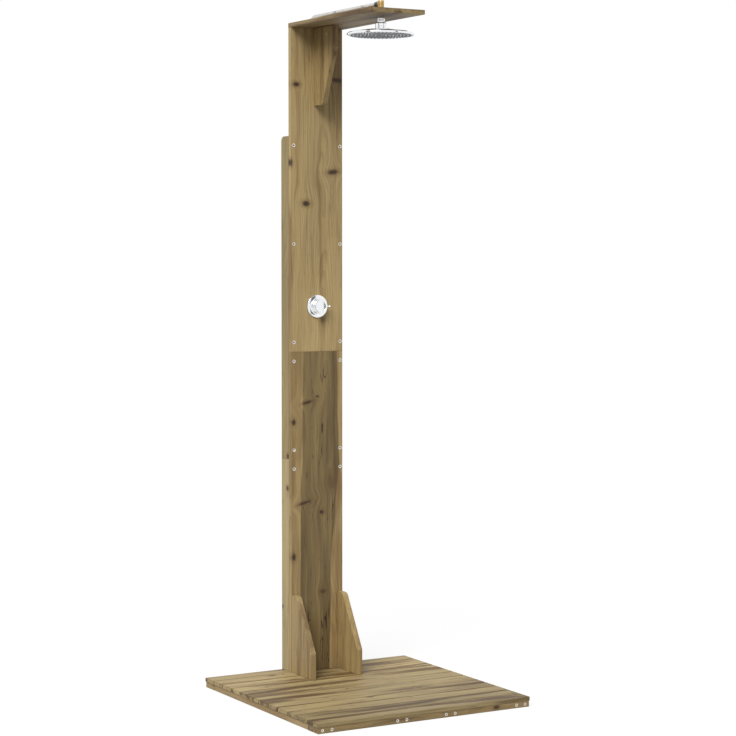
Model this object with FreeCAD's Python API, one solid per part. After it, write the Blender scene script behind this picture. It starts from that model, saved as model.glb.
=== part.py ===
"""Outdoor shower post: slatted deck, boxed timber post, roof board, concealed valve and rain head.

Millimetres. X runs to the right along the deck's front edge, +Y to the back and +Z up.
The origin is the centre of the deck's underside.
"""
import FreeCAD, Part
import math
import os

Vec = FreeCAD.Vector
X_AXIS = Vec(1, 0, 0)
Y_AXIS = Vec(0, 1, 0)
Z_AXIS = Vec(0, 0, 1)

# ---------------------------------------------------------------- deck
deck_width = 800.0
plank_count = 12
plank_width = 64.0
plank_gap = 4.0
plank_thickness = 13.0
plank_edge_radius = 2.0
frame_thickness = 20.0
rail_width = 68.0
joist_width = 64.0
frame_setback = 3.0            # the planks' ends stand this far past the frame
arris = 1.0                    # small bevel along the boards' long edges

deck_depth = plank_count * plank_width + (plank_count - 1) * plank_gap
deck_top = frame_thickness + plank_thickness

# ---------------------------------------------------------------- post
panel_width = 203.0
panel_thickness = 20.0
panel_length = 1124.0          # two of these, end on end, reach from the deck to the roof board
side_thickness = 20.0
side_depth = 55.0
side_lower_length = 748.0
side_upper_length = 1126.0
side_top_radius = 18.0

post_rear = deck_depth / 2
panel_rear = post_rear - side_depth
panel_front = panel_rear - panel_thickness
side_centre = panel_width / 2 - side_thickness / 2
side_joint = deck_top + side_lower_length
side_top = side_joint + side_upper_length
panel_joint = deck_top + panel_length
roof_under = panel_joint + panel_length

# ---------------------------------------------------------------- roof board and gusset
roof_length = 575.0
roof_thickness = 15.0
gusset_thickness = 20.0
gusset_height = 269.0
gusset_reach = 137.0
gusset_foot = 56.0
gusset_nose = 74.0             # height of its upright front edge
gusset_corner_radius = 12.0

roof_top = roof_under + roof_thickness

# ---------------------------------------------------------------- guards beside the bottle bay
guard_thickness = 20.0
guard_height = 272.0
guard_reach = 142.0
guard_top_length = 36.0
guard_knee_height = 87.0
guard_top_radius = 20.0
guard_knee_radius = 12.0

# ---------------------------------------------------------------- screws and bolts
fastener_sides = 8             # the many fasteners have flat sides, to keep them light
hidden_screw_sides = 6
hexagon_sides = 6
screw_clearance = 0.1
screw_radius = 2.5
screw_head_radius = 5.5
screw_head_depth = 3.0
small_screw_radius = 1.75
small_screw_head_radius = 3.5
small_screw_head_depth = 2.0
tip_length = 5.0
rail_screw_bite = 42.0         # length in the joist's end
rail_screw_spacing = 34.0
post_screw_bite = 30.0         # length past a panel
foot_screw_bite = 27.0         # length above the planks
plank_screw_bite = 8.0         # length in a plank
clip_screw_bite = 9.5
screw_setback = 33.0           # from a board's end to its nearest screws
roof_screw_offset = 60.0       # from the centre line, each way
guard_low_screw_height = 90.0  # above the deck
guard_top_screw_setback = 68.0
guard_rear_foot_screw = 28.0   # in front of the panel
guard_nose_foot_screw = 47.0   # behind the guard's nose
side_foot_screw_setback = 14.0 # from the side board's front and back
barrel_nut_radius = 5.0
barrel_nut_length = 16.0
gusset_bolt_radius = 3.0
gusset_bolt_head_radius = 6.0
gusset_bolt_head_depth = 3.3
gusset_bolt_head_rim = 0.5
barrel_nut_setback = 27.0      # below the roof board
rear_barrel_nut_offset = 18.0  # in front of the panel
front_barrel_nut_offset = 87.0
low_barrel_nut_offset = 31.0   # in front of the panel
low_barrel_nut_height = 31.0   # above the gusset's foot
bolt_past_nut = 3.0

# ---------------------------------------------------------------- pipework behind the panel and on the roof
pipe_radius = 7.5
pipe_bore = 5.5
pipe_standoff = 10.5           # between the pipe and the panel's back
pipe_bend_radius = 28.0        # to the pipe's centre line
arm_rise = 26.0                # pipe's centre line above the roof board
clip_wall = 2.0
clip_width = 12.0
clip_mouth_half_angle = 55.0
rear_arm_clip_offset = 140.0   # in front of the panel, as is the next
front_arm_clip_offset = 330.0
pipe_clearance = 0.1
nut_radius = 12.0
nut_length = 14.0
nut_bevel = 1.0
arm_nut_radius = 9.4
arm_nut_length = 16.0          # over the elbow's arm
arm_nut_lip = 4.0              # over the pipe's end
arm_nut_bevel = 1.0
inlet_height = 100.0
thread_radius = 10.48          # half-inch pipe thread, outside
inlet_thread_length = 13.0
inlet_block = 25.0             # across the elbow's flats
inlet_block_bevel = 3.0
inlet_bore = 6.5
elbow_radius = 10.3
elbow_arm_radius = 7.0
elbow_crown = 11.0             # elbow's top above the arm's centre line
elbow_crown_bevel = 2.0
elbow_leg_gap = 1.0            # between the leg's end and the floor of the stem's socket
roof_hole_clearance = 0.5
washer_thickness = 1.5
washer_radius = 16.0
elbow_flange_radius = 14.0
elbow_flange_thickness = 3.5
drop_offset = 443.0            # from the panel's front to the head's axis

pipe_y = panel_rear + pipe_standoff + pipe_radius
arm_z = roof_top + arm_rise
head_y = panel_front - drop_offset

# ---------------------------------------------------------------- valve
valve_height = 1315.0
valve_body_radius = 16.0
valve_body_length = 39.0
valve_nose_radius = 13.5
valve_nose_length = 9.0        # nose in front of the panel
valve_hole_clearance = 0.5
valve_port_radius = 10.0
valve_port_reach = 30.0
cartridge_radius = 9.0
cartridge_fit = 0.1
disc_radius = 7.0
disc_thickness = 4.0
disc_window_angle = 80.0
disc_rim = 1.0                 # outside its windows
disc_hub_radius = 1.2
cartridge_window_margin = 0.4
cartridge_window_height = 3.5  # from the axis to the window's lower edge
spindle_radius = 4.0
spindle_fit = 0.05
spindle_bevel = 1.0
valve_bore_floor = 6.0
lock_nut_radius = 19.0
lock_nut_thickness = 5.0
lock_nut_bevel = 1.0
cover_radius = 39.7
cover_rim = 3.0
cover_wall = 1.5
cover_collar_foot_radius = 28.0
cover_collar_radius = 25.0
cover_bevel = 1.0
cover_rim_rise = 0.6           # from the rim's edge to the collar's foot
cover_foot_rise = 2.4          # of the slope at the collar's foot
cover_height = 13.0            # cover's collar in front of the panel
cover_seal_thickness = 1.2
cover_seal_width = 5.0
knob_gap = 0.4
knob_radius = 23.2
knob_length = 15.0
knob_face = 3.5
knob_bevel = 1.0
lever_pin_radius = 2.9
lever_pin_reach = 19.5         # beyond the knob's side
lever_pin_seat = 9.0
lever_pin_bevel = 0.9
grub_screw_radius = 2.5
grub_screw_setback = 3.0       # inside the knob's side
hex_key_radius = 1.3
hex_key_depth = 3.0

valve_face = -panel_thickness  # these depths are along the valve's axis, from the panel's front
valve_back = valve_face - valve_body_length
valve_floor = valve_back + valve_bore_floor
disc_plane = valve_floor + disc_thickness

# ---------------------------------------------------------------- rain head and its ball joint
ball_radius = 11.0
ball_drop = 33.0               # ball's centre below the roof board
ball_flat = 9.0
neck_radius = 6.5
neck_top = 16.5                # above the ball's centre
stem_radius = 13.5
stem_chamfer = 1.0
socket_depth = 14.0
stem_bore = 4.0
seat_clearance = 0.1
seat_thickness = 2.3
upper_seat_low = 3.0
upper_seat_high = 6.5
lower_seat_low = -9.0
lower_seat_high = -1.0
boss_radius = 16.4
boss_rim = 2.0
nut_mouth_radius = 11.2
collar_nut_radius = 19.0
collar_nut_top = 12.6
collar_nut_bevel = 2.2         # width of the steeper of its two slopes
collar_nut_shoulder = 9.0
collar_nut_knee = 11.4         # between its two slopes
collar_nut_foot = -8.0
collar_nut_edge = 0.6
head_radius = 112.8
head_wall = 2.0
dome_top = -8.3                # all heights of the head are from the ball's centre
dome_knee_radius = 66.0
dome_knee = -13.6
dome_edge = -21.0
head_bottom = -30.0
rim_radius = 3.5
rim_bevel = 1.5
face_radius = 108.0
face_thickness = 3.0
face_bevel = 1.0
face_recess = 0.5              # face plate stands this far inside the rim
mat_radius = 104.0
mat_thickness = 2.0
nozzle_rings = 4
nozzle_ring_step = 23.0
nozzles_per_ring = 6           # ring n holds n times this
nozzle_root_radius = 2.6
nozzle_tip_radius = 1.6
nozzle_proud = 2.5

ball_z = roof_under - ball_drop


# ---------------------------------------------------------------- forms
def box(x0, x1, y0, y1, z0, z1):
    """A block between two corners."""
    return Part.makeBox(x1 - x0, y1 - y0, z1 - z0, Vec(x0, y0, z0))


def board(x0, x1, y0, y1, z0, z1, grain):
    """A block whose four edges along the grain are bevelled."""
    block = box(x0, x1, y0, y1, z0, z1)
    return block.makeChamfer(arris, edges_along(block, grain))


def edges_along(shape, direction):
    """The straight edges that run along a direction."""
    found = []
    for edge in shape.Edges:
        run = edge.Vertexes[-1].Point - edge.Vertexes[0].Point
        if isinstance(edge.Curve, Part.Line) and run.cross(direction).Length < 1e-6:
            found.append(edge)
    return found


def rounded_face(corners, to_space):
    """A flat face through corners (a, b, radius), with an arc at each corner whose radius isn't zero."""
    starts = []
    ends = []
    middles = []
    count = len(corners)
    for index in range(count):
        a, b, radius = corners[index]
        here = Vec(a, b, 0)
        back = Vec(*corners[index - 1][:2], 0) - here
        ahead = Vec(*corners[(index + 1) % count][:2], 0) - here
        back.normalize()
        ahead.normalize()
        half = back.getAngle(ahead) / 2
        starts.append(here + back * (radius / math.tan(half)))
        ends.append(here + ahead * (radius / math.tan(half)))
        bisector = back + ahead
        if radius > 0:
            bisector.normalize()
        middles.append(here + bisector * (radius / math.sin(half) - radius))
    edges = []
    for index in range(count):
        start = to_space(starts[index])
        end = to_space(ends[index])
        if corners[index][2] > 0:
            edges.append(Part.Arc(start, to_space(middles[index]), end).toShape())
        following = to_space(starts[(index + 1) % count])
        if (following - end).Length > 1e-6:
            edges.append(Part.LineSegment(end, following).toShape())
    return Part.Face(Part.Wire(edges))


def side_plate(corners, x0, x1):
    """A plate between x0 and x1 whose outline, seen from the side, has corners (y, z, radius)."""
    face = rounded_face(corners, lambda p: Vec(x0, p.x, p.y))
    plate = face.extrude(Vec(x1 - x0, 0, 0))
    rims = [edge for edge in plate.Edges if edge.BoundBox.XLength < 1e-6]
    return plate.makeChamfer(arris, rims)


def turned(start, *steps):
    """A solid of revolution about Z. Each step is a corner (radius, height), or for an arc the points
    (through, end)."""
    edges = []
    here = start
    for step in steps + (start,):
        if isinstance(step[0], tuple):
            through, end = step
            arc = Part.Arc(Vec(here[0], 0, here[1]), Vec(through[0], 0, through[1]), Vec(end[0], 0, end[1]))
            edges.append(arc.toShape())
            here = end
        elif step != here:
            edges.append(Part.LineSegment(Vec(here[0], 0, here[1]), Vec(step[0], 0, step[1])).toShape())
            here = step
    return Part.Face(Part.Wire(edges)).revolve(Vec(0, 0, 0), Z_AXIS, 360)


def stand(shape, place, direction=Z_AXIS):
    """Turn a shape made along +Z to a direction, and move its origin to a place."""
    turn = FreeCAD.Rotation(Z_AXIS, direction)
    shape.Placement = FreeCAD.Placement(place, turn).multiply(shape.Placement)
    return shape


def rod(radius, start, end):
    """A round bar from one point to another."""
    run = end - start
    return Part.makeCylinder(radius, run.Length, start, run)


def many_sided(rings, sides=fastener_sides):
    """A solid with flat sides along Z through rings (radius, height). A radius of zero is a point."""
    loops = []
    for radius, height in rings:
        turns = [2 * math.pi * (index + 0.5) / sides for index in range(sides)]
        loops.append([Vec(radius * math.cos(turn), radius * math.sin(turn), height) for turn in turns])
    faces = []
    for low, high in zip(range(len(rings)), range(1, len(rings))):
        for index in range(sides):
            after = (index + 1) % sides
            corners = [loops[low][index], loops[low][after]]
            if rings[high][0] > 0:
                corners.append(loops[high][after])
            corners.append(loops[high][index])
            faces.append(Part.Face(Part.makePolygon(corners + corners[:1])))
    for end in (0, -1):
        if rings[end][0] > 0:
            faces.append(Part.Face(Part.makePolygon(loops[end] + loops[end][:1])))
    solid = Part.Solid(Part.Shell(faces))
    if solid.Volume < 0:
        solid.reverse()
    return solid


def sphere_radius_at(radius, height):
    """Radius of a ball's slice at a height above its centre."""
    return math.sqrt(radius ** 2 - height ** 2)


# ---------------------------------------------------------------- fasteners
class Screw:
    """A countersunk wood screw: where the middle of its head lies, where it points, and its sizes."""

    def __init__(self, head, direction, length, small=False):
        self.head = head
        self.direction = direction
        self.length = length
        self.radius = small_screw_radius if small else screw_radius
        self.head_radius = small_screw_head_radius if small else screw_head_radius
        self.head_depth = small_screw_head_depth if small else screw_head_depth
        self.sides = hidden_screw_sides if small else fastener_sides
        self.hole = self.make_hole()

    def solid(self):
        rings = [(self.head_radius, 0), (self.radius, self.head_depth),
                 (self.radius, self.length - tip_length), (0, self.length)]
        return stand(many_sided(rings, self.sides), self.head, self.direction)

    def make_hole(self):
        grow = screw_clearance
        rings = [(self.head_radius + grow, -arris), (self.head_radius + grow, 0),
                 (self.radius + grow, self.head_depth + grow),
                 (self.radius + grow, self.length - tip_length), (0, self.length + 2 * grow)]
        return stand(many_sided(rings, self.sides), self.head, self.direction)


def screw_group(screws):
    return Part.makeCompound([screw.solid() for screw in screws])


def drilled(wood, *groups):
    """The board with a hole for each screw or bolt that meets it."""
    holes = [fastener.hole for group in groups for fastener in group]
    met = [hole for hole in holes if hole.BoundBox.intersect(wood.BoundBox)]
    return wood.cut(Part.makeCompound(met)) if met else wood


class BarrelBolt:
    """A countersunk machine bolt, from the middle of its head to its barrel nut across the gusset."""

    def __init__(self, head, nut):
        self.head = head
        self.nut = nut
        self.direction = nut - head
        self.length = self.direction.Length + barrel_nut_radius + bolt_past_nut
        self.hole = self.shank(screw_clearance).fuse(self.barrel(screw_clearance))

    def shank(self, grow):
        """The bolt, or with a growth the hole that it needs."""
        head_radius = gusset_bolt_head_radius + grow
        radius = gusset_bolt_radius + grow
        rings = [(head_radius, -grow), (head_radius, gusset_bolt_head_rim),
                 (radius, gusset_bolt_head_depth + grow), (radius, self.length + grow)]
        return stand(many_sided(rings), self.head, self.direction)

    def barrel(self, grow):
        radius = barrel_nut_radius + grow
        rings = [(radius, -grow), (radius, barrel_nut_length + grow)]
        return stand(many_sided(rings), Vec(-gusset_thickness / 2, self.nut.y, self.nut.z), X_AXIS)


def mirrored_pair(x, y, z):
    return [Vec(-x, y, z), Vec(x, y, z)]


def joist_centres():
    outer = deck_width / 2 - frame_setback - joist_width / 2
    return {"joist_left_outer": -outer, "joist_left_inner": -side_centre,
            "joist_right_inner": side_centre, "joist_right_outer": outer}


def plank_front(index):
    return -deck_depth / 2 + index * (plank_width + plank_gap)


def rail_screw_list():
    """Through both rails into the joists' ends, a pair at each joist."""
    screws = []
    length = rail_width + rail_screw_bite
    for centre in joist_centres().values():
        for offset in (-rail_screw_spacing / 2, rail_screw_spacing / 2):
            for end in (-1, 1):
                head = Vec(centre + offset, end * deck_depth / 2, frame_thickness / 2)
                screws.append(Screw(head, Vec(0, -end, 0), length))
    return screws


def plank_screw_list():
    """From below, through the frame into each plank near both its ends."""
    screws = []
    length = frame_thickness + plank_screw_bite
    for index in range(plank_count):
        middle = plank_front(index) + plank_width / 2
        for centre in (joist_centres()["joist_left_outer"], joist_centres()["joist_right_outer"]):
            screws.append(Screw(Vec(centre, middle, 0), Z_AXIS, length, small=True))
    return screws


def post_screw_levels():
    """Heights of the screws through the panels into the side boards: two at each joint and one between."""
    above_joint = panel_joint + screw_setback
    top = side_top - screw_setback
    return [deck_top + screw_setback, side_joint - screw_setback, side_joint + screw_setback,
            panel_joint - screw_setback, above_joint, (above_joint + top) / 2, top]


def post_screw_list():
    """Through the panels into the side boards."""
    length = panel_thickness + post_screw_bite
    screws = []
    for level in post_screw_levels():
        for head in mirrored_pair(side_centre, panel_front, level):
            screws.append(Screw(head, Y_AXIS, length))
    return screws


def guard_screw_list():
    """From the panel's back into the guards' rear edges, one low and one high on each."""
    length = panel_thickness + post_screw_bite
    screws = []
    for height in (guard_low_screw_height, guard_height - guard_top_screw_setback):
        for head in mirrored_pair(side_centre, panel_rear, deck_top + height):
            screws.append(Screw(head, -Y_AXIS, length))
    return screws


def roof_screw_list():
    """Down through the roof board into the upper panel's end."""
    length = roof_thickness + post_screw_bite
    middle = (panel_front + panel_rear) / 2
    heads = mirrored_pair(roof_screw_offset, middle, roof_top)
    return [Screw(head, -Z_AXIS, length) for head in heads]


def foot_screw_list():
    """From below, through frame and plank into the guards and the side boards."""
    length = deck_top + foot_screw_bite
    screws = []
    guard_places = [panel_front - guard_rear_foot_screw, panel_front - guard_reach + guard_nose_foot_screw]
    side_places = [panel_rear + side_foot_screw_setback, post_rear - side_foot_screw_setback]
    for place in guard_places + side_places:
        for head in mirrored_pair(side_centre, place, 0):
            screws.append(Screw(head, Z_AXIS, length))
    return screws


def gusset_bolt_list():
    """Two bolts down through the roof board and one from the panel's back, each to a barrel nut."""
    upper = roof_under - barrel_nut_setback
    lower = roof_under - gusset_height + low_barrel_nut_height
    bolts = []
    for offset in (rear_barrel_nut_offset, front_barrel_nut_offset):
        y = panel_front - offset
        bolts.append(BarrelBolt(Vec(0, y, roof_top), Vec(0, y, upper)))
    bolts.append(BarrelBolt(Vec(0, panel_rear, lower), Vec(0, panel_front - low_barrel_nut_offset, lower)))
    return bolts


RAIL_SCREWS = rail_screw_list()
PLANK_SCREWS = plank_screw_list()
POST_SCREWS = post_screw_list()
GUARD_SCREWS = guard_screw_list()
ROOF_SCREWS = roof_screw_list()
FOOT_SCREWS = foot_screw_list()
GUSSET_BOLTS = gusset_bolt_list()


# ---------------------------------------------------------------- deck
def deck_plank(index):
    """A plank across the deck, its two upper long edges rounded."""
    front = plank_front(index)
    half = deck_width / 2
    block = box(-half, half, front, front + plank_width, frame_thickness, deck_top)
    upper = [edge for edge in edges_along(block, X_AXIS) if edge.BoundBox.ZMin > deck_top - arris]
    return drilled(block.makeFillet(plank_edge_radius, upper), PLANK_SCREWS, FOOT_SCREWS)


def rail(end):
    """The frame board under the deck's front edge (end -1) or back edge (end 1)."""
    half = deck_width / 2 - frame_setback
    outer = end * deck_depth / 2
    inner = end * (deck_depth / 2 - rail_width)
    wood = board(-half, half, min(outer, inner), max(outer, inner), 0, frame_thickness, X_AXIS)
    return drilled(wood, RAIL_SCREWS, PLANK_SCREWS, FOOT_SCREWS)


def joist(centre):
    """A frame board from rail to rail."""
    reach = deck_depth / 2 - rail_width
    half = joist_width / 2
    wood = board(centre - half, centre + half, -reach, reach, 0, frame_thickness, Y_AXIS)
    return drilled(wood, RAIL_SCREWS, PLANK_SCREWS, FOOT_SCREWS)


# ---------------------------------------------------------------- post
def panel(bottom):
    """One length of the post's face, with the holes that fall in it."""
    half = panel_width / 2
    wood = board(-half, half, panel_front, panel_rear, bottom, bottom + panel_length, Z_AXIS)
    wood = drilled(wood, POST_SCREWS, GUARD_SCREWS, ROOF_SCREWS, GUSSET_BOLTS, CLIP_SCREWS)
    if bottom < valve_height < bottom + panel_length:
        start = Vec(0, panel_front - arris, valve_height)
        end = Vec(0, panel_rear + arris, valve_height)
        wood = wood.cut(rod(valve_nose_radius + valve_hole_clearance, start, end))
    return wood


def side_board(side, bottom, length, top_radius):
    """A length of the boards behind the panel's edges. A radius rounds its rear top corner."""
    x0 = side * side_centre - side_thickness / 2
    top = bottom + length
    corners = [(panel_rear, bottom, 0), (post_rear, bottom, 0), (post_rear, top, top_radius),
               (panel_rear, top, 0)]
    return drilled(side_plate(corners, x0, x0 + side_thickness), POST_SCREWS, FOOT_SCREWS)


def guard(side):
    """A tapered plate on the deck beside the bottle bay: upright nose, slope and short level top."""
    x0 = side * side_centre - guard_thickness / 2
    nose = panel_front - guard_reach
    top = deck_top + guard_height
    corners = [(nose, deck_top, 0), (panel_front, deck_top, 0), (panel_front, top, 0),
               (panel_front - guard_top_length, top, guard_top_radius),
               (nose, deck_top + guard_knee_height, guard_knee_radius)]
    return drilled(side_plate(corners, x0, x0 + guard_thickness), GUARD_SCREWS, FOOT_SCREWS)


def roof_board():
    """The board over the post, with holes for its screws, the gusset's bolts, the elbow and the clips."""
    half = panel_width / 2
    wood = board(-half, half, panel_rear - roof_length, panel_rear, roof_under, roof_top, Y_AXIS)
    wood = drilled(wood, ROOF_SCREWS, GUSSET_BOLTS, CLIP_SCREWS)
    start = Vec(0, head_y, roof_under - arris)
    end = Vec(0, head_y, roof_top + arris)
    return wood.cut(rod(elbow_radius + roof_hole_clearance, start, end))


def roof_gusset():
    """The tapered plate between the roof board and the panel."""
    foot = roof_under - gusset_height
    nose = panel_front - gusset_reach
    corners = [(panel_front, foot, 0), (panel_front, roof_under, 0), (nose, roof_under, 0),
               (nose, roof_under - gusset_nose, 0), (panel_front - gusset_foot, foot, gusset_corner_radius)]
    return drilled(side_plate(corners, -gusset_thickness / 2, gusset_thickness / 2), GUSSET_BOLTS)


def gusset_bolts():
    return Part.makeCompound([bolt.shank(0) for bolt in GUSSET_BOLTS])


def gusset_barrel_nuts():
    """The cross nuts whose round faces show on the gusset, each bored for its bolt."""
    return Part.makeCompound([bolt.barrel(0).cut(bolt.shank(screw_clearance)) for bolt in GUSSET_BOLTS])


# ---------------------------------------------------------------- pipe clips
def clip_places():
    """For each clip: its point on the pipe's axis, the pipe's direction, the way to the wood and its face."""
    quarter = (panel_joint - inlet_height) / 4
    riser_low = valve_height + quarter
    riser_high = roof_under - quarter / 2
    on_panel = [inlet_height + quarter, panel_joint - quarter, riser_low, riser_high]
    places = [(Vec(0, pipe_y, z), Z_AXIS, -Y_AXIS, panel_rear) for z in on_panel]
    for offset in (rear_arm_clip_offset, front_arm_clip_offset):
        places.append((Vec(0, panel_front - offset, arm_z), Y_AXIS, -Z_AXIS, roof_top))
    return places


def clip_depth(place, to_wood, wood_face):
    """Distance from the pipe's axis to the wood."""
    return abs(place.dot(to_wood) - wood_face * (to_wood.x + to_wood.y + to_wood.z))


def clip_screw_list():
    """Through each clip's foot into the wood, the head in the clip's ring behind the pipe."""
    screws = []
    for place, along, to_wood, wood_face in clip_places():
        seat = pipe_radius + 2 * pipe_clearance
        length = clip_depth(place, to_wood, wood_face) - seat + clip_screw_bite
        screws.append(Screw(place + to_wood * seat, to_wood, length, small=True))
    return screws


CLIP_SCREWS = clip_screw_list()


def pipe_clip(place, along, to_wood, wood_face):
    """A snap clip: a ring with an open mouth, on a foot that stands on the wood."""
    inner = pipe_radius + pipe_clearance
    outer = inner + clip_wall
    lip = math.radians(clip_mouth_half_angle)
    depth = clip_depth(place, to_wood, wood_face)
    mouth = Vec(math.sin(lip), math.cos(lip), 0)
    other = Vec(-mouth.x, mouth.y, 0)
    edges = [
        Part.Arc(mouth * outer, Vec(0, -outer, 0), other * outer).toShape(),
        Part.LineSegment(other * outer, other * inner).toShape(),
        Part.Arc(other * inner, Vec(0, -inner, 0), mouth * inner).toShape(),
        Part.LineSegment(mouth * inner, mouth * outer).toShape(),
    ]
    half = clip_width / 2
    ring = Part.Face(Part.Wire(edges)).extrude(Vec(0, 0, clip_width))
    foot = box(-half, half, -depth, -inner, 0, clip_width)
    foot = foot.cut(Part.makeCylinder(inner, clip_width))
    clip = ring.fuse(foot).removeSplitter()
    clip.translate(Vec(0, 0, -half))
    across = along.cross(to_wood)
    turn = FreeCAD.Rotation(across, -to_wood, along, "XYZ")
    clip.Placement = FreeCAD.Placement(place, turn).multiply(clip.Placement)
    return drilled(clip, CLIP_SCREWS)


def pipe_clips():
    return Part.makeCompound([pipe_clip(*place) for place in clip_places()])


# ---------------------------------------------------------------- pipes and fittings
def straight_pipe(start, end):
    return rod(pipe_radius, start, end).cut(rod(pipe_bore, start, end))


def inlet_pipe():
    """From the inlet elbow up to the valve's lower port."""
    start = Vec(0, pipe_y, inlet_height + inlet_block / 2 + pipe_clearance)
    end = Vec(0, pipe_y, valve_height - valve_port_reach)
    return straight_pipe(start, end)


def riser_pipe():
    """From the valve's upper port up behind the panel, over the roof board's rear edge and along its top."""
    bottom = Vec(0, pipe_y, valve_height + valve_port_reach)
    bend_start = Vec(0, pipe_y, arm_z - pipe_bend_radius)
    bend_end = Vec(0, pipe_y - pipe_bend_radius, arm_z)
    bend_middle = Vec(0, pipe_y - pipe_bend_radius, arm_z - pipe_bend_radius)
    tip = Vec(0, head_y + elbow_radius + arm_nut_length + 2 * pipe_clearance, arm_z)
    skins = []
    for radius in (pipe_radius, pipe_bore):
        ring = Part.Face(Part.Wire([Part.makeCircle(radius, bend_start, Z_AXIS)]))
        bend = ring.revolve(bend_middle, X_AXIS, 90)
        skins.append(rod(radius, bottom, bend_start).fuse([bend, rod(radius, bend_end, tip)]))
    return skins[0].cut(skins[1])


def union_nut(place, direction):
    """A hexagon nut over a pipe's end and a port."""
    half = nut_length / 2
    rings = [(nut_radius - nut_bevel, -half), (nut_radius, nut_bevel - half),
             (nut_radius, half - nut_bevel), (nut_radius - nut_bevel, half)]
    blank = many_sided(rings, sides=hexagon_sides)
    bore = Part.makeCylinder(pipe_radius + pipe_clearance, nut_length, Vec(0, 0, -half))
    return stand(blank.cut(bore), place, direction)


def union_nuts():
    """At the inlet elbow, the valve's lower port and its upper port, each around the pipe's end."""
    above_inlet = inlet_height + inlet_block / 2 + nut_length / 2 + pipe_clearance
    reach = valve_port_reach + nut_length / 2
    heights = [above_inlet, valve_height - reach, valve_height + reach]
    return Part.makeCompound([union_nut(Vec(0, pipe_y, z), Z_AXIS) for z in heights])


def arm_nut():
    """The dark nut around the end of the arm, over the elbow's arm and the pipe's end."""
    start = head_y + elbow_radius
    end = arm_nut_length + arm_nut_lip
    arm_bore = elbow_arm_radius + pipe_clearance
    pipe_hole = pipe_radius + pipe_clearance
    edge = arm_nut_radius - arm_nut_bevel
    nut = turned((arm_bore, 0), (edge, 0), (arm_nut_radius, arm_nut_bevel),
                 (arm_nut_radius, end - arm_nut_bevel), (edge, end), (pipe_hole, end),
                 (pipe_hole, arm_nut_length), (arm_bore, arm_nut_length))
    return stand(nut, Vec(0, start + pipe_clearance, arm_z), Y_AXIS)


def inlet_elbow():
    """A brass elbow: the pipe stands on its block, and its threaded end faces the back for a garden hose."""
    half = inlet_block / 2
    corner = Vec(0, pipe_y, inlet_height)
    thread_end = Vec(0, post_rear - frame_setback, inlet_height)
    thread_start = thread_end - Y_AXIS * inlet_thread_length
    block = box(-half, half, pipe_y - half, thread_start.y, inlet_height - half, inlet_height + half)
    block = block.makeChamfer(inlet_block_bevel, edges_along(block, Z_AXIS))
    body = block.fuse(rod(thread_radius, thread_start, thread_end))
    back_bore = rod(inlet_bore, corner, thread_end)
    up_bore = rod(inlet_bore, corner, corner + Z_AXIS * half)
    return body.cut(back_bore.fuse(up_bore))


def roof_elbow():
    """The brass elbow over the head: an arm, a crown, a flange and a leg through the roof board."""
    flange_low = roof_top + washer_thickness
    flange_high = flange_low + elbow_flange_thickness
    crown = arm_z + elbow_crown
    leg_end = roof_under - socket_depth + elbow_leg_gap
    leg = turned((stem_bore, leg_end), (elbow_radius, leg_end), (elbow_radius, flange_low),
                 (elbow_flange_radius, flange_low), (elbow_flange_radius, flange_high),
                 (elbow_radius, flange_high), (elbow_radius, crown - elbow_crown_bevel),
                 (elbow_radius - elbow_crown_bevel, crown), (0, crown), (0, arm_z), (stem_bore, arm_z))
    leg.translate(Vec(0, head_y, 0))
    start = Vec(0, head_y, arm_z)
    arm_end = Vec(0, head_y + elbow_radius + arm_nut_length - pipe_clearance, arm_z)
    arm = rod(elbow_arm_radius, start, arm_end)
    return leg.fuse(arm).cut(rod(stem_bore, start, arm_end + Y_AXIS))


def roof_washer():
    """The rubber washer under the elbow's flange."""
    washer = turned((elbow_radius + pipe_clearance, 0), (washer_radius, 0), (washer_radius, washer_thickness),
                    (elbow_radius + pipe_clearance, washer_thickness))
    return stand(washer, Vec(0, head_y, roof_top))


# ---------------------------------------------------------------- valve
def in_valve(shape):
    """A valve piece made along Z, turned so that Z points out of the panel, with its origin on the panel."""
    return stand(shape, Vec(0, panel_front, valve_height), -Y_AXIS)


def valve_body():
    """The brass body: a barrel behind the panel, a nose through it, and a port up and a port down."""
    bore = cartridge_radius + cartridge_fit
    barrel = turned((0, valve_back), (valve_body_radius, valve_back), (valve_body_radius, valve_face),
                    (valve_nose_radius, valve_face), (valve_nose_radius, valve_nose_length),
                    (bore, valve_nose_length), (bore, valve_floor), (0, valve_floor))
    barrel = in_valve(barrel)
    low = Vec(0, pipe_y, valve_height - valve_port_reach)
    high = Vec(0, pipe_y, valve_height + valve_port_reach)
    ports = rod(valve_port_radius, low, high)
    core = in_valve(Part.makeCylinder(bore, valve_nose_length - valve_floor, Vec(0, 0, valve_floor)))
    body = barrel.fuse(ports.cut(core))
    return body.cut(rod(pipe_bore, low - Z_AXIS, high + Z_AXIS))


def cartridge():
    """The sleeve in the valve's bore: a chamber for the discs at its back and the spindle's bore in front."""
    chamber = disc_plane + 2 * disc_thickness
    chamber_bore = disc_radius + cartridge_fit
    spindle_bore = spindle_radius + spindle_fit
    sleeve = turned((chamber_bore, valve_floor), (cartridge_radius, valve_floor),
                    (cartridge_radius, valve_nose_length), (spindle_bore, valve_nose_length),
                    (spindle_bore, chamber), (chamber_bore, chamber))
    window_low = disc_plane + disc_thickness + cartridge_window_margin
    window_high = disc_plane + 2 * disc_thickness - cartridge_window_margin
    window = box(-cartridge_radius, cartridge_radius, cartridge_window_height, 2 * cartridge_radius,
                 window_low, window_high)
    return in_valve(sleeve.cut(window))


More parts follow.
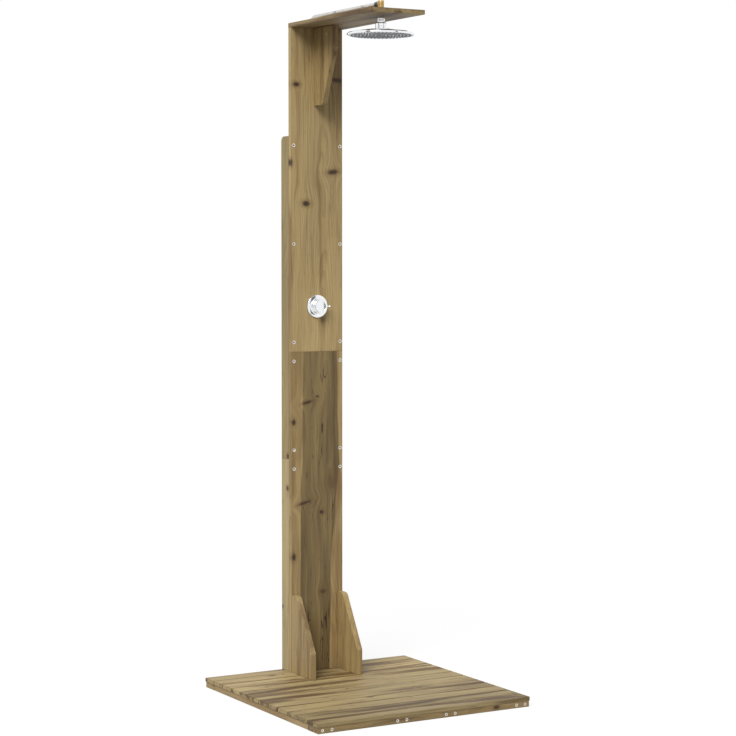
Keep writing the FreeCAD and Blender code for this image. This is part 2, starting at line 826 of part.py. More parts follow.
def windowed_disc(low):
    """A ceramic disc with two windows, opposite each other above and below its hub."""
    disc = Part.makeCylinder(disc_radius, disc_thickness, Vec(0, 0, low))
    hub = Part.makeCylinder(disc_hub_radius, disc_thickness, Vec(0, 0, low))
    for middle in (90, 270):
        window = Part.makeCylinder(disc_radius - disc_rim, disc_thickness, Vec(0, 0, low), Z_AXIS,
                                   disc_window_angle)
        window.rotate(Vec(0, 0, 0), Z_AXIS, middle - disc_window_angle / 2)
        disc = disc.cut(window.cut(hub))
    return in_valve(disc)


def fixed_disc():
    """The rear disc, held still in the cartridge."""
    return windowed_disc(valve_floor)


def turning_disc():
    """The front disc, which the spindle turns. Its windows meet the fixed disc's while the water runs."""
    return windowed_disc(disc_plane + spindle_fit)


def valve_spindle():
    """The stem from the turning disc out to the knob, with a foot that drives the disc."""
    foot = disc_plane + spindle_fit + disc_thickness
    foot_radius = disc_radius - disc_rim
    shoulder = disc_plane + 2 * disc_thickness - spindle_fit
    tip = cover_height + knob_gap + knob_length - knob_face - spindle_fit
    stem = turned((0, foot), (foot_radius, foot), (foot_radius, shoulder), (spindle_radius, shoulder),
                  (spindle_radius, tip - spindle_bevel), (spindle_radius - spindle_bevel, tip), (0, tip))
    return in_valve(stem)


def lock_nut():
    """The hexagon nut on the valve's nose, which clamps the body to the panel."""
    blank = many_sided([(lock_nut_radius, 0), (lock_nut_radius, lock_nut_thickness - lock_nut_bevel),
                        (lock_nut_radius - lock_nut_bevel, lock_nut_thickness)], sides=hexagon_sides)
    return in_valve(blank.cut(Part.makeCylinder(valve_nose_radius + cartridge_fit, lock_nut_thickness)))


def cover_plate():
    """The round chrome cover: a flat rim and a raised collar, hollow behind to clear the lock nut."""
    low = cover_seal_thickness
    step = low + cover_rim
    foot = step + cover_rim_rise
    under = cover_height - cover_wall
    nose = valve_nose_radius + cartridge_fit
    collar_inner = cover_collar_radius - cover_wall
    rim_inner = cover_radius - cover_wall
    cover = turned((rim_inner, low), (cover_radius, low), (cover_radius, step - cover_bevel),
                   (cover_radius - cover_bevel, step), (cover_collar_foot_radius, foot),
                   (cover_collar_radius, foot + cover_foot_rise),
                   (cover_collar_radius, cover_height - cover_bevel),
                   (cover_collar_radius - cover_bevel, cover_height), (nose, cover_height), (nose, under),
                   (collar_inner, under), (collar_inner, foot - cover_wall), (rim_inner, step - cover_wall))
    return in_valve(cover)


def cover_seal():
    """The foam ring between the cover's rim and the panel."""
    outer = cover_radius
    ring = turned((outer - cover_seal_width, 0), (outer, 0), (outer, cover_seal_thickness),
                  (outer - cover_seal_width, cover_seal_thickness))
    return in_valve(ring)


def lever_pin_height():
    """Height of the lever pin and the grub screw in front of the panel: the middle of the knob."""
    return cover_height + knob_gap + (knob_length - knob_face) / 2


def knob():
    """The cylindrical knob: closed face, bore for the spindle, seats for the lever pin and the grub screw."""
    low = cover_height + knob_gap
    high = low + knob_length
    soft = knob_bevel
    bore = spindle_radius + spindle_fit
    body = turned((bore, low), (knob_radius, low), (knob_radius, high - soft), (knob_radius - soft, high),
                  (0, high), (0, high - knob_face), (bore, high - knob_face))
    height = lever_pin_height()
    pin_seat = rod(lever_pin_radius + spindle_fit, Vec(knob_radius - lever_pin_seat, 0, height),
                   Vec(knob_radius + 1, 0, height))
    grub_seat = rod(grub_screw_radius + spindle_fit, Vec(-knob_radius - 1, 0, height), Vec(0, 0, height))
    return in_valve(body.cut(pin_seat.fuse(grub_seat)))


def lever_pin():
    """The thin lever that points to the right while the water runs."""
    seat = knob_radius - lever_pin_seat + spindle_fit
    tip = knob_radius + lever_pin_reach
    radius = lever_pin_radius
    pin = turned((0, seat), (radius, seat), (radius, tip - lever_pin_bevel), (radius - lever_pin_bevel, tip),
                 (0, tip))
    return in_valve(stand(pin, Vec(0, 0, lever_pin_height()), X_AXIS))


def grub_screw():
    """The headless screw that holds the knob on its spindle."""
    start = Vec(-spindle_radius - spindle_fit, 0, lever_pin_height())
    end = Vec(-knob_radius + grub_screw_setback, 0, lever_pin_height())
    screw = rod(grub_screw_radius, start, end)
    key = many_sided([(hex_key_radius, 0), (hex_key_radius, hex_key_depth)], sides=hexagon_sides)
    return in_valve(screw.cut(stand(key, end, X_AXIS)))


# ---------------------------------------------------------------- rain head
def at_ball(shape):
    """A piece of the head or its joint, made about the ball's centre, in its place."""
    return stand(shape, Vec(0, head_y, ball_z))


def ball_stem():
    """The chrome stem: a socket on the elbow's leg, a neck, and a ball, cut flat and bored for the water."""
    shoulder = sphere_radius_at(ball_radius, neck_radius)
    flat_radius = sphere_radius_at(ball_radius, ball_flat)
    socket = elbow_radius + pipe_clearance
    edge = stem_radius - stem_chamfer
    stem = turned((stem_bore, -ball_flat), (flat_radius, -ball_flat),
                  ((ball_radius, 0), (neck_radius, shoulder)), (neck_radius, neck_top), (edge, neck_top),
                  (stem_radius, neck_top + stem_chamfer), (stem_radius, ball_drop), (socket, ball_drop),
                  (socket, ball_drop - socket_depth), (stem_bore, ball_drop - socket_depth))
    return at_ball(stem)


def seat_inside():
    return ball_radius + seat_clearance


def seat_outside():
    return seat_inside() + seat_thickness


def upper_seat_ring():
    """The plastic ring over the ball: a slice of a hollow ball, which slides on the ball and in the nut."""
    low = upper_seat_low
    high = upper_seat_high
    middle = (low + high) / 2
    inside = seat_inside()
    outside = seat_outside()
    ring = turned((sphere_radius_at(inside, low), low), (sphere_radius_at(outside, low), low),
                  ((sphere_radius_at(outside, middle), middle), (sphere_radius_at(outside, high), high)),
                  (sphere_radius_at(inside, high), high),
                  ((sphere_radius_at(inside, middle), middle), (sphere_radius_at(inside, low), low)))
    return at_ball(ring)


def lower_seat_ring():
    """The plastic cup under the ball: hollow to fit it, round outside, on the floor of the boss's pocket."""
    low = lower_seat_low
    high = lower_seat_high
    middle = (low + high) / 2
    inside = seat_inside()
    ring = turned((sphere_radius_at(inside, low), low), (seat_outside(), low), (seat_outside(), high),
                  (sphere_radius_at(inside, high), high),
                  ((sphere_radius_at(inside, middle), middle), (sphere_radius_at(inside, low), low)))
    return at_ball(ring)


def pocket_radius():
    return seat_outside() + seat_clearance


def collar_nut():
    """The round nut over the ball: it screws on the head's boss, and its cone holds the upper seat ring."""
    bore = boss_radius + seat_clearance
    shoulder = boss_rim + seat_clearance
    slope_radius = sphere_radius_at(pocket_radius(), upper_seat_high)

    def cone_radius(height):
        """Inside of the cone that touches the seat ring's ball at the ring's upper edge."""
        return (pocket_radius() ** 2 - height * upper_seat_high) / slope_radius

    lip = (pocket_radius() ** 2 - nut_mouth_radius * slope_radius) / upper_seat_high
    steep = collar_nut_radius - collar_nut_bevel
    nut = turned((bore, collar_nut_foot), (collar_nut_radius - collar_nut_edge, collar_nut_foot),
                 (collar_nut_radius, collar_nut_foot + collar_nut_edge),
                 (collar_nut_radius, collar_nut_shoulder),
                 (steep, collar_nut_knee), (nut_mouth_radius, collar_nut_top),
                 (nut_mouth_radius, lip), (cone_radius(shoulder), shoulder), (bore, shoulder))
    return at_ball(nut)


def head_shell():
    """The chrome shell: a boss with the ball's pocket, a shallow dome of two slopes, and a bevelled rim."""
    pocket = pocket_radius()
    pocket_floor = lower_seat_low - seat_clearance
    passage = sphere_radius_at(seat_inside(), -lower_seat_low)
    under = pocket_floor - head_wall
    ledge = head_bottom + face_recess + face_thickness
    recess = face_radius + seat_clearance
    inner_edge = mat_radius + seat_clearance
    shell = turned((boss_radius, boss_rim), (boss_radius, dome_top), (dome_knee_radius, dome_knee),
                   (head_radius - rim_radius, dome_edge), (head_radius, dome_edge - rim_radius),
                   (head_radius, head_bottom + rim_bevel), (head_radius - rim_bevel, head_bottom),
                   (recess, head_bottom), (recess, ledge), (inner_edge, ledge),
                   (inner_edge, dome_edge - head_wall),
                   (dome_knee_radius, dome_knee - head_wall), (boss_radius, under), (passage, under),
                   (passage, pocket_floor), (pocket, pocket_floor), (pocket, boss_rim))
    return at_ball(shell)


def nozzle_places():
    """The centre and rings around it, each ring with more nozzles than the one inside it."""
    places = [(0, 0)]
    for ring in range(1, nozzle_rings + 1):
        count = ring * nozzles_per_ring
        radius = ring * nozzle_ring_step
        for index in range(count):
            turn = 2 * math.pi * (index + ring / 2) / count
            places.append((radius * math.cos(turn), radius * math.sin(turn)))
    return places


def face_plate():
    """The head's underside: a disc with a hole for each nozzle."""
    low = head_bottom + face_recess
    high = low + face_thickness
    plate = turned((0, low), (face_radius - face_bevel, low), (face_radius, low + face_bevel),
                   (face_radius, high), (0, high))
    radius = nozzle_root_radius + seat_clearance
    holes = []
    for x, y in nozzle_places():
        hole = many_sided([(radius, low), (radius, high)], sides=hexagon_sides)
        hole.translate(Vec(x, y, 0))
        holes.append(hole)
    return at_ball(plate.cut(Part.makeCompound(holes)))


def nozzle_mat():
    """The rubber mat on the face plate, with a tapered nozzle through each hole."""
    low = head_bottom + face_recess + face_thickness
    tip = head_bottom + face_recess - nozzle_proud
    mat = Part.makeCylinder(mat_radius, mat_thickness, Vec(0, 0, low))
    nozzles = []
    for x, y in nozzle_places():
        nozzle = many_sided([(nozzle_tip_radius, tip), (nozzle_root_radius, low)], sides=hexagon_sides)
        nozzle.translate(Vec(x, y, 0))
        nozzles.append(nozzle)
    return at_ball(mat.fuse(nozzles))


# ---------------------------------------------------------------- all nodes
def all_nodes():
    nodes = {}
    for index in range(plank_count):
        nodes["deck_plank_%02d" % (index + 1)] = deck_plank(index)
    nodes["front_rail"] = rail(-1)
    nodes["rear_rail"] = rail(1)
    for name, centre in joist_centres().items():
        nodes[name] = joist(centre)
    nodes["lower_panel"] = panel(deck_top)
    nodes["upper_panel"] = panel(panel_joint)
    for name, side in (("left", -1), ("right", 1)):
        nodes["%s_side_board_lower" % name] = side_board(side, deck_top, side_lower_length, 0)
        nodes["%s_side_board_upper" % name] = side_board(side, side_joint, side_upper_length, side_top_radius)
        nodes["%s_guard" % name] = guard(side)
    nodes["roof_board"] = roof_board()
    nodes["roof_gusset"] = roof_gusset()
    nodes["rail_screws"] = screw_group(RAIL_SCREWS)
    nodes["small_screws"] = screw_group(PLANK_SCREWS + CLIP_SCREWS)
    nodes["post_screws"] = screw_group(POST_SCREWS + GUARD_SCREWS + ROOF_SCREWS)
    nodes["foot_screws"] = screw_group(FOOT_SCREWS)
    nodes["gusset_bolts"] = gusset_bolts()
    nodes["gusset_barrel_nuts"] = gusset_barrel_nuts()
    nodes["pipe_clips"] = pipe_clips()
    nodes["inlet_elbow"] = inlet_elbow()
    nodes["inlet_pipe"] = inlet_pipe()
    nodes["union_nuts"] = union_nuts()
    nodes["riser_pipe"] = riser_pipe()
    nodes["arm_nut"] = arm_nut()
    nodes["roof_elbow"] = roof_elbow()
    nodes["roof_washer"] = roof_washer()
    nodes["valve_body"] = valve_body()
    nodes["cartridge"] = cartridge()
    nodes["fixed_disc"] = fixed_disc()
    nodes["turning_disc"] = turning_disc()
    nodes["valve_spindle"] = valve_spindle()
    nodes["lock_nut"] = lock_nut()
    nodes["cover_plate"] = cover_plate()
    nodes["cover_seal"] = cover_seal()
    nodes["knob"] = knob()
    nodes["lever_pin"] = lever_pin()
    nodes["grub_screw"] = grub_screw()
    nodes["ball_stem"] = ball_stem()
    nodes["upper_seat_ring"] = upper_seat_ring()
    nodes["lower_seat_ring"] = lower_seat_ring()
    nodes["collar_nut"] = collar_nut()
    nodes["head_shell"] = head_shell()
    nodes["face_plate"] = face_plate()
    nodes["nozzle_mat"] = nozzle_mat()
    return nodes


os.makedirs("parts", exist_ok=True)
for node_name, node_shape in all_nodes().items():
    node_shape.exportStep("parts/%s.step" % node_name)
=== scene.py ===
"""Looks of the outdoor shower post: sawn timber, chrome rain head and valve, pipework, light and camera.

Metres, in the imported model's own frame: X to the right along the deck, +Y to the back and +Z up.
"""

import math

import bmesh
import bpy
import numpy as np
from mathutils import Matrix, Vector


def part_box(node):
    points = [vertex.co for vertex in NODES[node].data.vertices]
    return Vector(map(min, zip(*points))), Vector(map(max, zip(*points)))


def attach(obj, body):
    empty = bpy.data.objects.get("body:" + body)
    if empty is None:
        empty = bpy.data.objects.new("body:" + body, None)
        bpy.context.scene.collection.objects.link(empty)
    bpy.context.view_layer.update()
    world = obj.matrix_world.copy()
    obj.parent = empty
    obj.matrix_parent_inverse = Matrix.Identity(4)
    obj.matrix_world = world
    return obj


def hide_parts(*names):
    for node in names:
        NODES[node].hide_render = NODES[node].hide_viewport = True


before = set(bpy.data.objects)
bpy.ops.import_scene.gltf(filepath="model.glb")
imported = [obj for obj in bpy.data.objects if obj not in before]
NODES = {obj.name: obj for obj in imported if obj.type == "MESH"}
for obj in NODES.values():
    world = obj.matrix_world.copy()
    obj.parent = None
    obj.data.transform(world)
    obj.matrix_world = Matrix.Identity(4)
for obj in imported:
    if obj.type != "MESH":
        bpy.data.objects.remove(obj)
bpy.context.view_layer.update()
MM = 0.001
ORIGIN = (0, 0, 0)


# ---------------------------------------------------------------- places that the CAD model gives
panel_low, panel_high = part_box("upper_panel")
panel_front = panel_low.y
panel_rear = panel_high.y
roof_low, roof_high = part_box("roof_board")
cover_low, cover_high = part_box("cover_plate")
valve_place = Vector(((cover_low.x + cover_high.x) / 2, panel_front, (cover_low.z + cover_high.z) / 2))
head_low, head_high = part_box("head_shell")
BALL_DEPTH = 33                # of the ball's middle, below the stem's top
ball_place = Vector(((head_low.x + head_high.x) / 2, (head_low.y + head_high.y) / 2,
                     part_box("ball_stem")[1].z - BALL_DEPTH * MM))


# ---------------------------------------------------------------- colours and node trees
def screen(red, green, blue):
    """A colour as a screen shows it, 0 to 255 in each part, turned into light values."""
    parts = []
    for value in (red / 255, green / 255, blue / 255):
        parts.append(value / 12.92 if value <= 0.04045 else ((value + 0.055) / 1.055) ** 2.4)
    return (*parts, 1.0)


class Tree:
    """Adds nodes to one node tree and joins them."""

    def __init__(self, tree):
        self.tree = tree

    def feed(self, socket, value):
        """Give a socket a value, or join it to an output."""
        if isinstance(value, bpy.types.NodeSocket):
            self.tree.links.new(value, socket)
        else:
            socket.default_value = value

    def add(self, kind, inputs=None, **settings):
        """A node with its settings made and its inputs set, each to a value or joined to an output."""
        node = self.tree.nodes.new("ShaderNode" + kind)
        for name, value in settings.items():
            setattr(node, name, value)
        for name, value in (inputs or {}).items():
            self.feed(node.inputs[name], value)
        return node

    def sum(self, operation, *values, clamp=False):
        """The outcome of a sum on numbers."""
        return self.add("Math", dict(enumerate(values)), operation=operation, use_clamp=clamp).outputs[0]

    def times(self, first, second, clamp=False):
        """One number times another."""
        return self.sum("MULTIPLY", first, second, clamp=clamp)

    def plus(self, first, second):
        """One number plus another."""
        return self.sum("ADD", first, second)

    def less(self, first, second):
        """One number less another."""
        return self.sum("SUBTRACT", first, second)

    def vector(self, operation, *values):
        """The outcome of a sum on vectors."""
        node = self.add("VectorMath", dict(enumerate(values)), operation=operation)
        return node.outputs["Value"] if operation in ("LENGTH", "DOT_PRODUCT") else node.outputs["Vector"]

    def ramp(self, value, low, high, to_low=0.0, to_high=1.0, smooth=True):
        """A value carried from one range to another, held at its ends."""
        inputs = {"Value": value, "From Min": low, "From Max": high, "To Min": to_low, "To Max": to_high}
        shape = "SMOOTHSTEP" if smooth else "LINEAR"
        return self.add("MapRange", inputs, interpolation_type=shape).outputs["Result"]

    def noise(self, vector, scale=1.0, detail=2.0, roughness=0.5):
        """A noise from 0 to 1 at a place, with its size, its number of finer layers and their strength."""
        inputs = {"Vector": vector, "Scale": scale, "Detail": detail, "Roughness": roughness}
        return self.add("TexNoise", inputs).outputs["Fac"]

    def mix(self, share, first, second, blend="MIX"):
        """A colour between two, by a share."""
        inputs = {0: share, 6: first, 7: second}
        return self.add("Mix", inputs, data_type="RGBA", blend_type=blend).outputs[2]

    def stretched(self, vector, along, across, depth):
        """The vector with each part multiplied, so that a noise on it is drawn out where the factor is small."""
        return self.vector("MULTIPLY", vector, (along, across, depth))


def new_group(name, inputs, outputs):
    """An empty shader group: its tree, its given sockets and the ones to be made. An input is a number, a vector of
    three or a colour of four, as its first value is. An output is a number, but for one named Color."""
    tree = bpy.data.node_groups.new(name, "ShaderNodeTree")
    for label, value in inputs.items():
        kind = {3: "Vector", 4: "Color"}[len(value)] if isinstance(value, tuple) else "Float"
        socket = tree.interface.new_socket(label, in_out="INPUT", socket_type="NodeSocket" + kind)
        socket.default_value = value
    for label in outputs:
        kind = "Color" if label == "Color" else "Float"
        tree.interface.new_socket(label, in_out="OUTPUT", socket_type="NodeSocket" + kind)
    return Tree(tree), tree.nodes.new("NodeGroupInput").outputs, tree.nodes.new("NodeGroupOutput").inputs


def place_group(tree, group, inputs):
    """One use of a shader group."""
    return tree.add("Group", inputs, node_tree=group.tree).outputs


def blank(owner):
    """The emptied node tree of a material or of the world."""
    owner.use_nodes = True
    owner.node_tree.nodes.clear()
    return Tree(owner.node_tree)


# ---------------------------------------------------------------- timber
def knot_group():
    """A knot. The distance from its middle is divided by its reach along and across the grain, and a ragged noise
    is added. The wood is darkest below 0.9 and free of the knot's colour at 1.75; a halo round it fades out at 3.1,
    and the grain is pushed aside. A slanted knot rises along the grain by its slant times the distance across. The
    strength is how dark it gets."""
    group, given, made = new_group(
        "knot",
        {"Place": ORIGIN, "Middle": ORIGIN, "Reach": (0.01, 0.01, 0.05), "Slant": 0.0, "Strength": 1.0, "Dark": 0.0,
         "Halo": 0.0, "Push": 0.0},
        ("Dark", "Halo", "Push"))
    away = group.vector("SUBTRACT", given["Place"], given["Middle"])
    across = group.add("SeparateXYZ", {0: away}).outputs["Y"]
    leaning = group.add("CombineXYZ", {"X": group.times(across, given["Slant"])}).outputs[0]
    away = group.vector("SUBTRACT", away, leaning)
    measured = group.vector("DIVIDE", away, given["Reach"])
    ragged = group.noise(group.stretched(given["Place"], 120, 260, 60), detail=3)
    distance = group.plus(group.vector("LENGTH", measured), group.times(ragged, 0.9))
    dark = group.times(group.ramp(distance, 1.75, 0.9), given["Strength"])
    group.feed(made["Dark"], group.sum("MAXIMUM", given["Dark"], dark))
    group.feed(made["Halo"], group.sum("MAXIMUM", given["Halo"], group.ramp(distance, 3.1, 1.0)))
    wide = group.vector("LENGTH", group.stretched(measured, 0.22, 0.42, 1.0))
    fall = group.sum("EXPONENT", group.times(group.sum("POWER", wide, 2.0), -1.0))
    push = group.times(group.times(across, -0.75), fall)
    group.feed(made["Push"], group.plus(given["Push"], push))
    return group


def band_group():
    """A band along the grain. Its two edges stand at distances across the grain that are read from curves of the
    place along it, with a small wobble; the mask is 1 between them."""
    group, given, made = new_group(
        "heart_band", {"Place": ORIGIN, "Left edge": -0.05, "Right edge": 0.05, "Softness": 0.0015}, ("Mask",))
    across = group.add("SeparateXYZ", {0: given["Place"]}).outputs["Y"]
    wobble = group.noise(group.stretched(given["Place"], 7, 22, 3), detail=3)
    across = group.plus(across, group.times(group.less(wobble, 0.5), 0.012))
    inside_left = group.sum("DIVIDE", group.less(across, given["Left edge"]), given["Softness"])
    inside_right = group.sum("DIVIDE", group.less(given["Right edge"], across), given["Softness"])
    mask = group.times(group.ramp(inside_left, -1, 1), group.ramp(inside_right, -1, 1))
    group.feed(made["Mask"], mask)
    return group


def arris_group():
    """Wear along a board's edges. With the distances to the six faces of the board's block, the second smallest
    is the distance to the nearest edge; the mask falls from 1 at the edge to 0 at the reach."""
    group, given, made = new_group(
        "arris_wear", {"Place": ORIGIN, "Middle": ORIGIN, "Half size": (1, 1, 1), "Reach": 0.003}, ("Mask",))
    away = group.vector("ABSOLUTE", group.vector("SUBTRACT", given["Place"], given["Middle"]))
    room = group.add("SeparateXYZ", {0: group.vector("SUBTRACT", given["Half size"], away)}).outputs
    low = group.sum("MINIMUM", room["X"], group.sum("MINIMUM", room["Y"], room["Z"]))
    high = group.sum("MAXIMUM", room["X"], group.sum("MAXIMUM", room["Y"], room["Z"]))
    total = group.plus(room["X"], group.plus(room["Y"], room["Z"]))
    second = group.less(group.less(total, low), high)
    ragged = group.noise(given["Place"], 90.0, 2)
    reach = group.times(given["Reach"], group.plus(ragged, 0.5))
    share = group.sum("DIVIDE", second, reach)
    group.feed(made["Mask"], group.ramp(share, 1.0, 0.2))
    return group


def timber_group():
    """Sawn timber. The distance from the pith, bent by slow noise and pushed aside by knots, is cut into yearly
    rings. Broad noise drawn out along the grain, held between two levels, gives brown streaks; thin dark lines run
    where a bent noise crosses its middle; fine noises give fibres and pores."""
    group, given, made = new_group(
        "timber",
        {"Place": ORIGIN, "Seed": ORIGIN, "Pith": ORIGIN, "Push": 0.0, "Knots": 0.0, "Halo": 0.0, "Heart": 0.0,
         "Wear": 0.0, "Sapwood": screen(160, 138, 98), "Brown": screen(128, 104, 70),
         "Heartwood": screen(130, 111, 73), "Ring": 0.004, "Figure": 0.5, "Mineral": 0.3},
        ("Color", "Roughness", "Height"))
    seeded = group.vector("ADD", given["Place"], given["Seed"])
    aside = group.add("CombineXYZ", {"Y": given["Push"]}).outputs[0]
    seeded = group.vector("ADD", seeded, aside)
    slow = group.noise(group.stretched(seeded, 1.3, 6, 6), detail=2)
    quick = group.noise(group.stretched(seeded, 7, 34, 34), detail=2)
    from_pith = group.vector("ADD", group.vector("SUBTRACT", given["Place"], given["Pith"]), aside)
    radius = group.vector("LENGTH", group.stretched(from_pith, 0, 1, 1))
    radius = group.plus(radius, group.times(slow, 0.06))
    radius = group.plus(radius, group.times(quick, 0.004))
    phase = group.sum("FRACT", group.sum("DIVIDE", radius, given["Ring"]))
    late = group.times(group.ramp(phase, 0.25, 0.9), group.ramp(phase, 1.0, 0.93))

    sway = group.add("CombineXYZ", {"Y": group.times(quick, 0.02)}).outputs[0]
    bent = group.vector("ADD", seeded, sway)
    broad = group.noise(group.stretched(bent, 1.5, 21, 21), detail=3, roughness=0.55)
    narrow = group.noise(group.stretched(bent, 3.0, 85, 85), detail=3)
    fibre = group.noise(group.stretched(seeded, 9, 420, 420), detail=2)
    pores = group.noise(group.stretched(seeded, 45, 1100, 1100), detail=1)
    lines = group.noise(group.stretched(bent, 4.5, 55, 55), detail=2)
    lines = group.ramp(group.sum("ABSOLUTE", group.less(lines, 0.5)), 0.016, 0.003)
    patches = group.ramp(group.noise(group.stretched(seeded, 9, 24, 24), detail=2), 0.52, 0.6)
    strength = group.sum("MAXIMUM", given["Mineral"], given["Heart"])
    lines = group.times(group.times(lines, patches), strength, clamp=True)

    grain = group.ramp(narrow, 0.3, 0.75, -0.3, 0.45, smooth=False)
    streaks = group.plus(group.ramp(broad, 0.44, 0.66), grain)
    streaks = group.times(streaks, given["Figure"], clamp=True)
    colour = group.mix(streaks, given["Sapwood"], given["Brown"])
    heart_streaks = group.sum("MULTIPLY_ADD", group.ramp(broad, 0.4, 0.66), 0.75, grain, clamp=True)
    dark_heart = group.mix(heart_streaks, given["Heartwood"], screen(92, 76, 49))
    colour = group.mix(given["Heart"], colour, dark_heart)
    colour = group.mix(lines, colour, screen(50, 38, 27))

    shade = group.less(group.ramp(slow, 0.3, 0.7, 1.2, 1.0), group.times(late, 0.16))
    shade = group.less(shade, group.times(group.ramp(fibre, 0.35, 0.75), 0.14))
    shade = group.less(shade, group.times(group.ramp(pores, 0.62, 0.74), 0.18))
    grey = group.add("CombineColor", {0: shade, 1: shade, 2: shade}).outputs[0]
    colour = group.mix(1.0, colour, grey, "MULTIPLY")
    colour = group.mix(group.times(given["Wear"], 0.4), colour, screen(112, 90, 58))
    colour = group.mix(group.times(given["Halo"], 0.5), colour, screen(106, 81, 51))
    colour = group.mix(given["Knots"], colour, group.mix(quick, screen(42, 30, 23), screen(82, 60, 42)))
    group.feed(made["Color"], colour)
    rough = group.plus(0.5, group.times(fibre, 0.22))
    group.feed(made["Roughness"], group.less(rough, group.times(late, 0.06)))
    height = group.plus(group.times(fibre, 0.5), group.times(late, 0.35))
    group.feed(made["Height"], group.less(height, group.times(given["Knots"], 0.4)))
    return group


KNOT = knot_group()
BAND = band_group()
ARRIS = arris_group()
TIMBER = timber_group()

# The frame's axes along the grain, across it and through the board. A rail and a plate stand on edge: the rail's
# broad face is to the front and the plate's to the side.
GRAIN_ORDER = {"X": ("X", "Y", "Z"), "X rail": ("X", "Z", "Y"), "Y": ("Y", "X", "Z"),
               "Z": ("Z", "X", "Y"), "Z plate": ("Z", "Y", "X")}


def along_grain(grain, x, y, z):
    """A place or size given along X, Y and Z, in the order along, across and through the board."""
    parts = {"X": x, "Y": y, "Z": z}
    return tuple(parts[axis] for axis in GRAIN_ORDER[grain])


def timber(name, node, grain, number, knots=(), band=None, figure=0.5, ring=4.5, tone=1.0, mineral=0.3,
           sap=(163, 140, 99), brown=(126, 101, 66)):
    """The material of one board. The number picks its own stretch of the pattern and where its pith lies.
    Knots are (x, y, z, reach along the grain, reach across, slant, strength), millimetres but for the last two.
    The figure is how strong the brown streaks are, the ring a year's width in millimetres, the tone a factor on
    both colours, and mineral how strong the thin dark lines are."""
    chance = np.random.default_rng(1000 + number)
    low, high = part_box(node)
    middle = (low + high) / 2
    material = bpy.data.materials.new(name)
    tree = blank(material)
    object_place = tree.add("TexCoord").outputs["Object"]
    parts = tree.add("SeparateXYZ", {0: object_place}).outputs
    place = tree.add("CombineXYZ", {i: parts[axis] for i, axis in enumerate(GRAIN_ORDER[grain])}).outputs[0]
    seed = tuple(float(v) for v in chance.uniform(-4, 4, 3))
    _, across, depth = along_grain(grain, *middle)
    pith = (0.0, across + float(chance.uniform(-0.06, 0.06)), depth + float(chance.uniform(0.05, 0.13)))
    chained = {"Dark": 0.0, "Halo": 0.0, "Push": 0.0}
    for x, y, z, reach, width, slant, strength in knots:
        centre = along_grain(grain, x * MM, y * MM, z * MM)
        made = place_group(tree, KNOT, {"Place": place, "Middle": centre, "Slant": slant, "Strength": strength,
                                        "Reach": (reach * MM, width * MM, 0.06), **chained})
        chained = {label: made[label] for label in ("Dark", "Halo", "Push")}
    heart = 0.0 if band is None else band_mask(tree, place, *band)
    size = along_grain(grain, *((high - low) / 2))
    wear = place_group(tree, ARRIS, {"Place": place, "Middle": along_grain(grain, *middle), "Half size": size})
    wood = place_group(tree, TIMBER, {
        "Place": place, "Seed": seed, "Pith": pith, "Push": chained["Push"], "Knots": chained["Dark"],
        "Halo": chained["Halo"], "Heart": heart, "Wear": wear["Mask"], "Ring": ring * MM, "Figure": figure,
        "Mineral": mineral, "Sapwood": screen(*(tone * value for value in sap)),
        "Brown": screen(*(tone * value for value in brown))})
    bump = tree.add("Bump", {"Height": wood["Height"], "Strength": 0.45, "Distance": 0.0006})
    surface = tree.add("BsdfPrincipled", {"Base Color": wood["Color"], "Roughness": wood["Roughness"],
                                          "Normal": bump.outputs[0], "Specular IOR Level": 0.35})
    tree.add("OutputMaterial", {"Surface": surface.outputs[0]})
    return material


def band_mask(tree, place, levels, left, right):
    """The heartwood band's mask: its left and right edges, in millimetres across, at levels along the grain."""
    along = tree.add("SeparateXYZ", {0: place}).outputs["X"]
    low = levels[0] * MM
    high = levels[-1] * MM
    share = tree.ramp(along, low, high, smooth=False)
    edges = []
    for places in (left, right):
        curve = tree.add("FloatCurve", {"Value": share})
        points = curve.mapping.curves[0].points
        while len(points) < len(levels):
            points.new(0.5, 0.5)
        for point, level, across in zip(points, levels, places):
            point.location = ((level * MM - low) / (high - low), 0.5 + across * MM)
        curve.mapping.update()
        edges.append(tree.less(curve.outputs[0], 0.5))
    return place_group(tree, BAND, {"Place": place, "Left edge": edges[0], "Right edge": edges[1]})["Mask"]


# ---------------------------------------------------------------- metal, rubber and plastic
def touch_group():
    """How a finish is handled: a broad noise for finger marks and a fine one for the polish. The roughness runs
    from low to high with the first, and the height is the second."""
    group, given, made = new_group(
        "touch", {"Place": ORIGIN, "Low": 0.1, "High": 0.3, "Size": 40.0, "Grain": 900.0},
        ("Roughness", "Height", "Mask"))
    marks = group.noise(given["Place"], given["Size"], 4, 0.6)
    share = group.ramp(marks, 0.35, 0.7)
    span = group.less(given["High"], given["Low"])
    rough = group.plus(given["Low"], group.times(share, span))
    group.feed(made["Roughness"], rough)
    group.feed(made["Height"], group.noise(given["Place"], given["Grain"], 2))
    group.feed(made["Mask"], share)
    return group


TOUCH = touch_group()


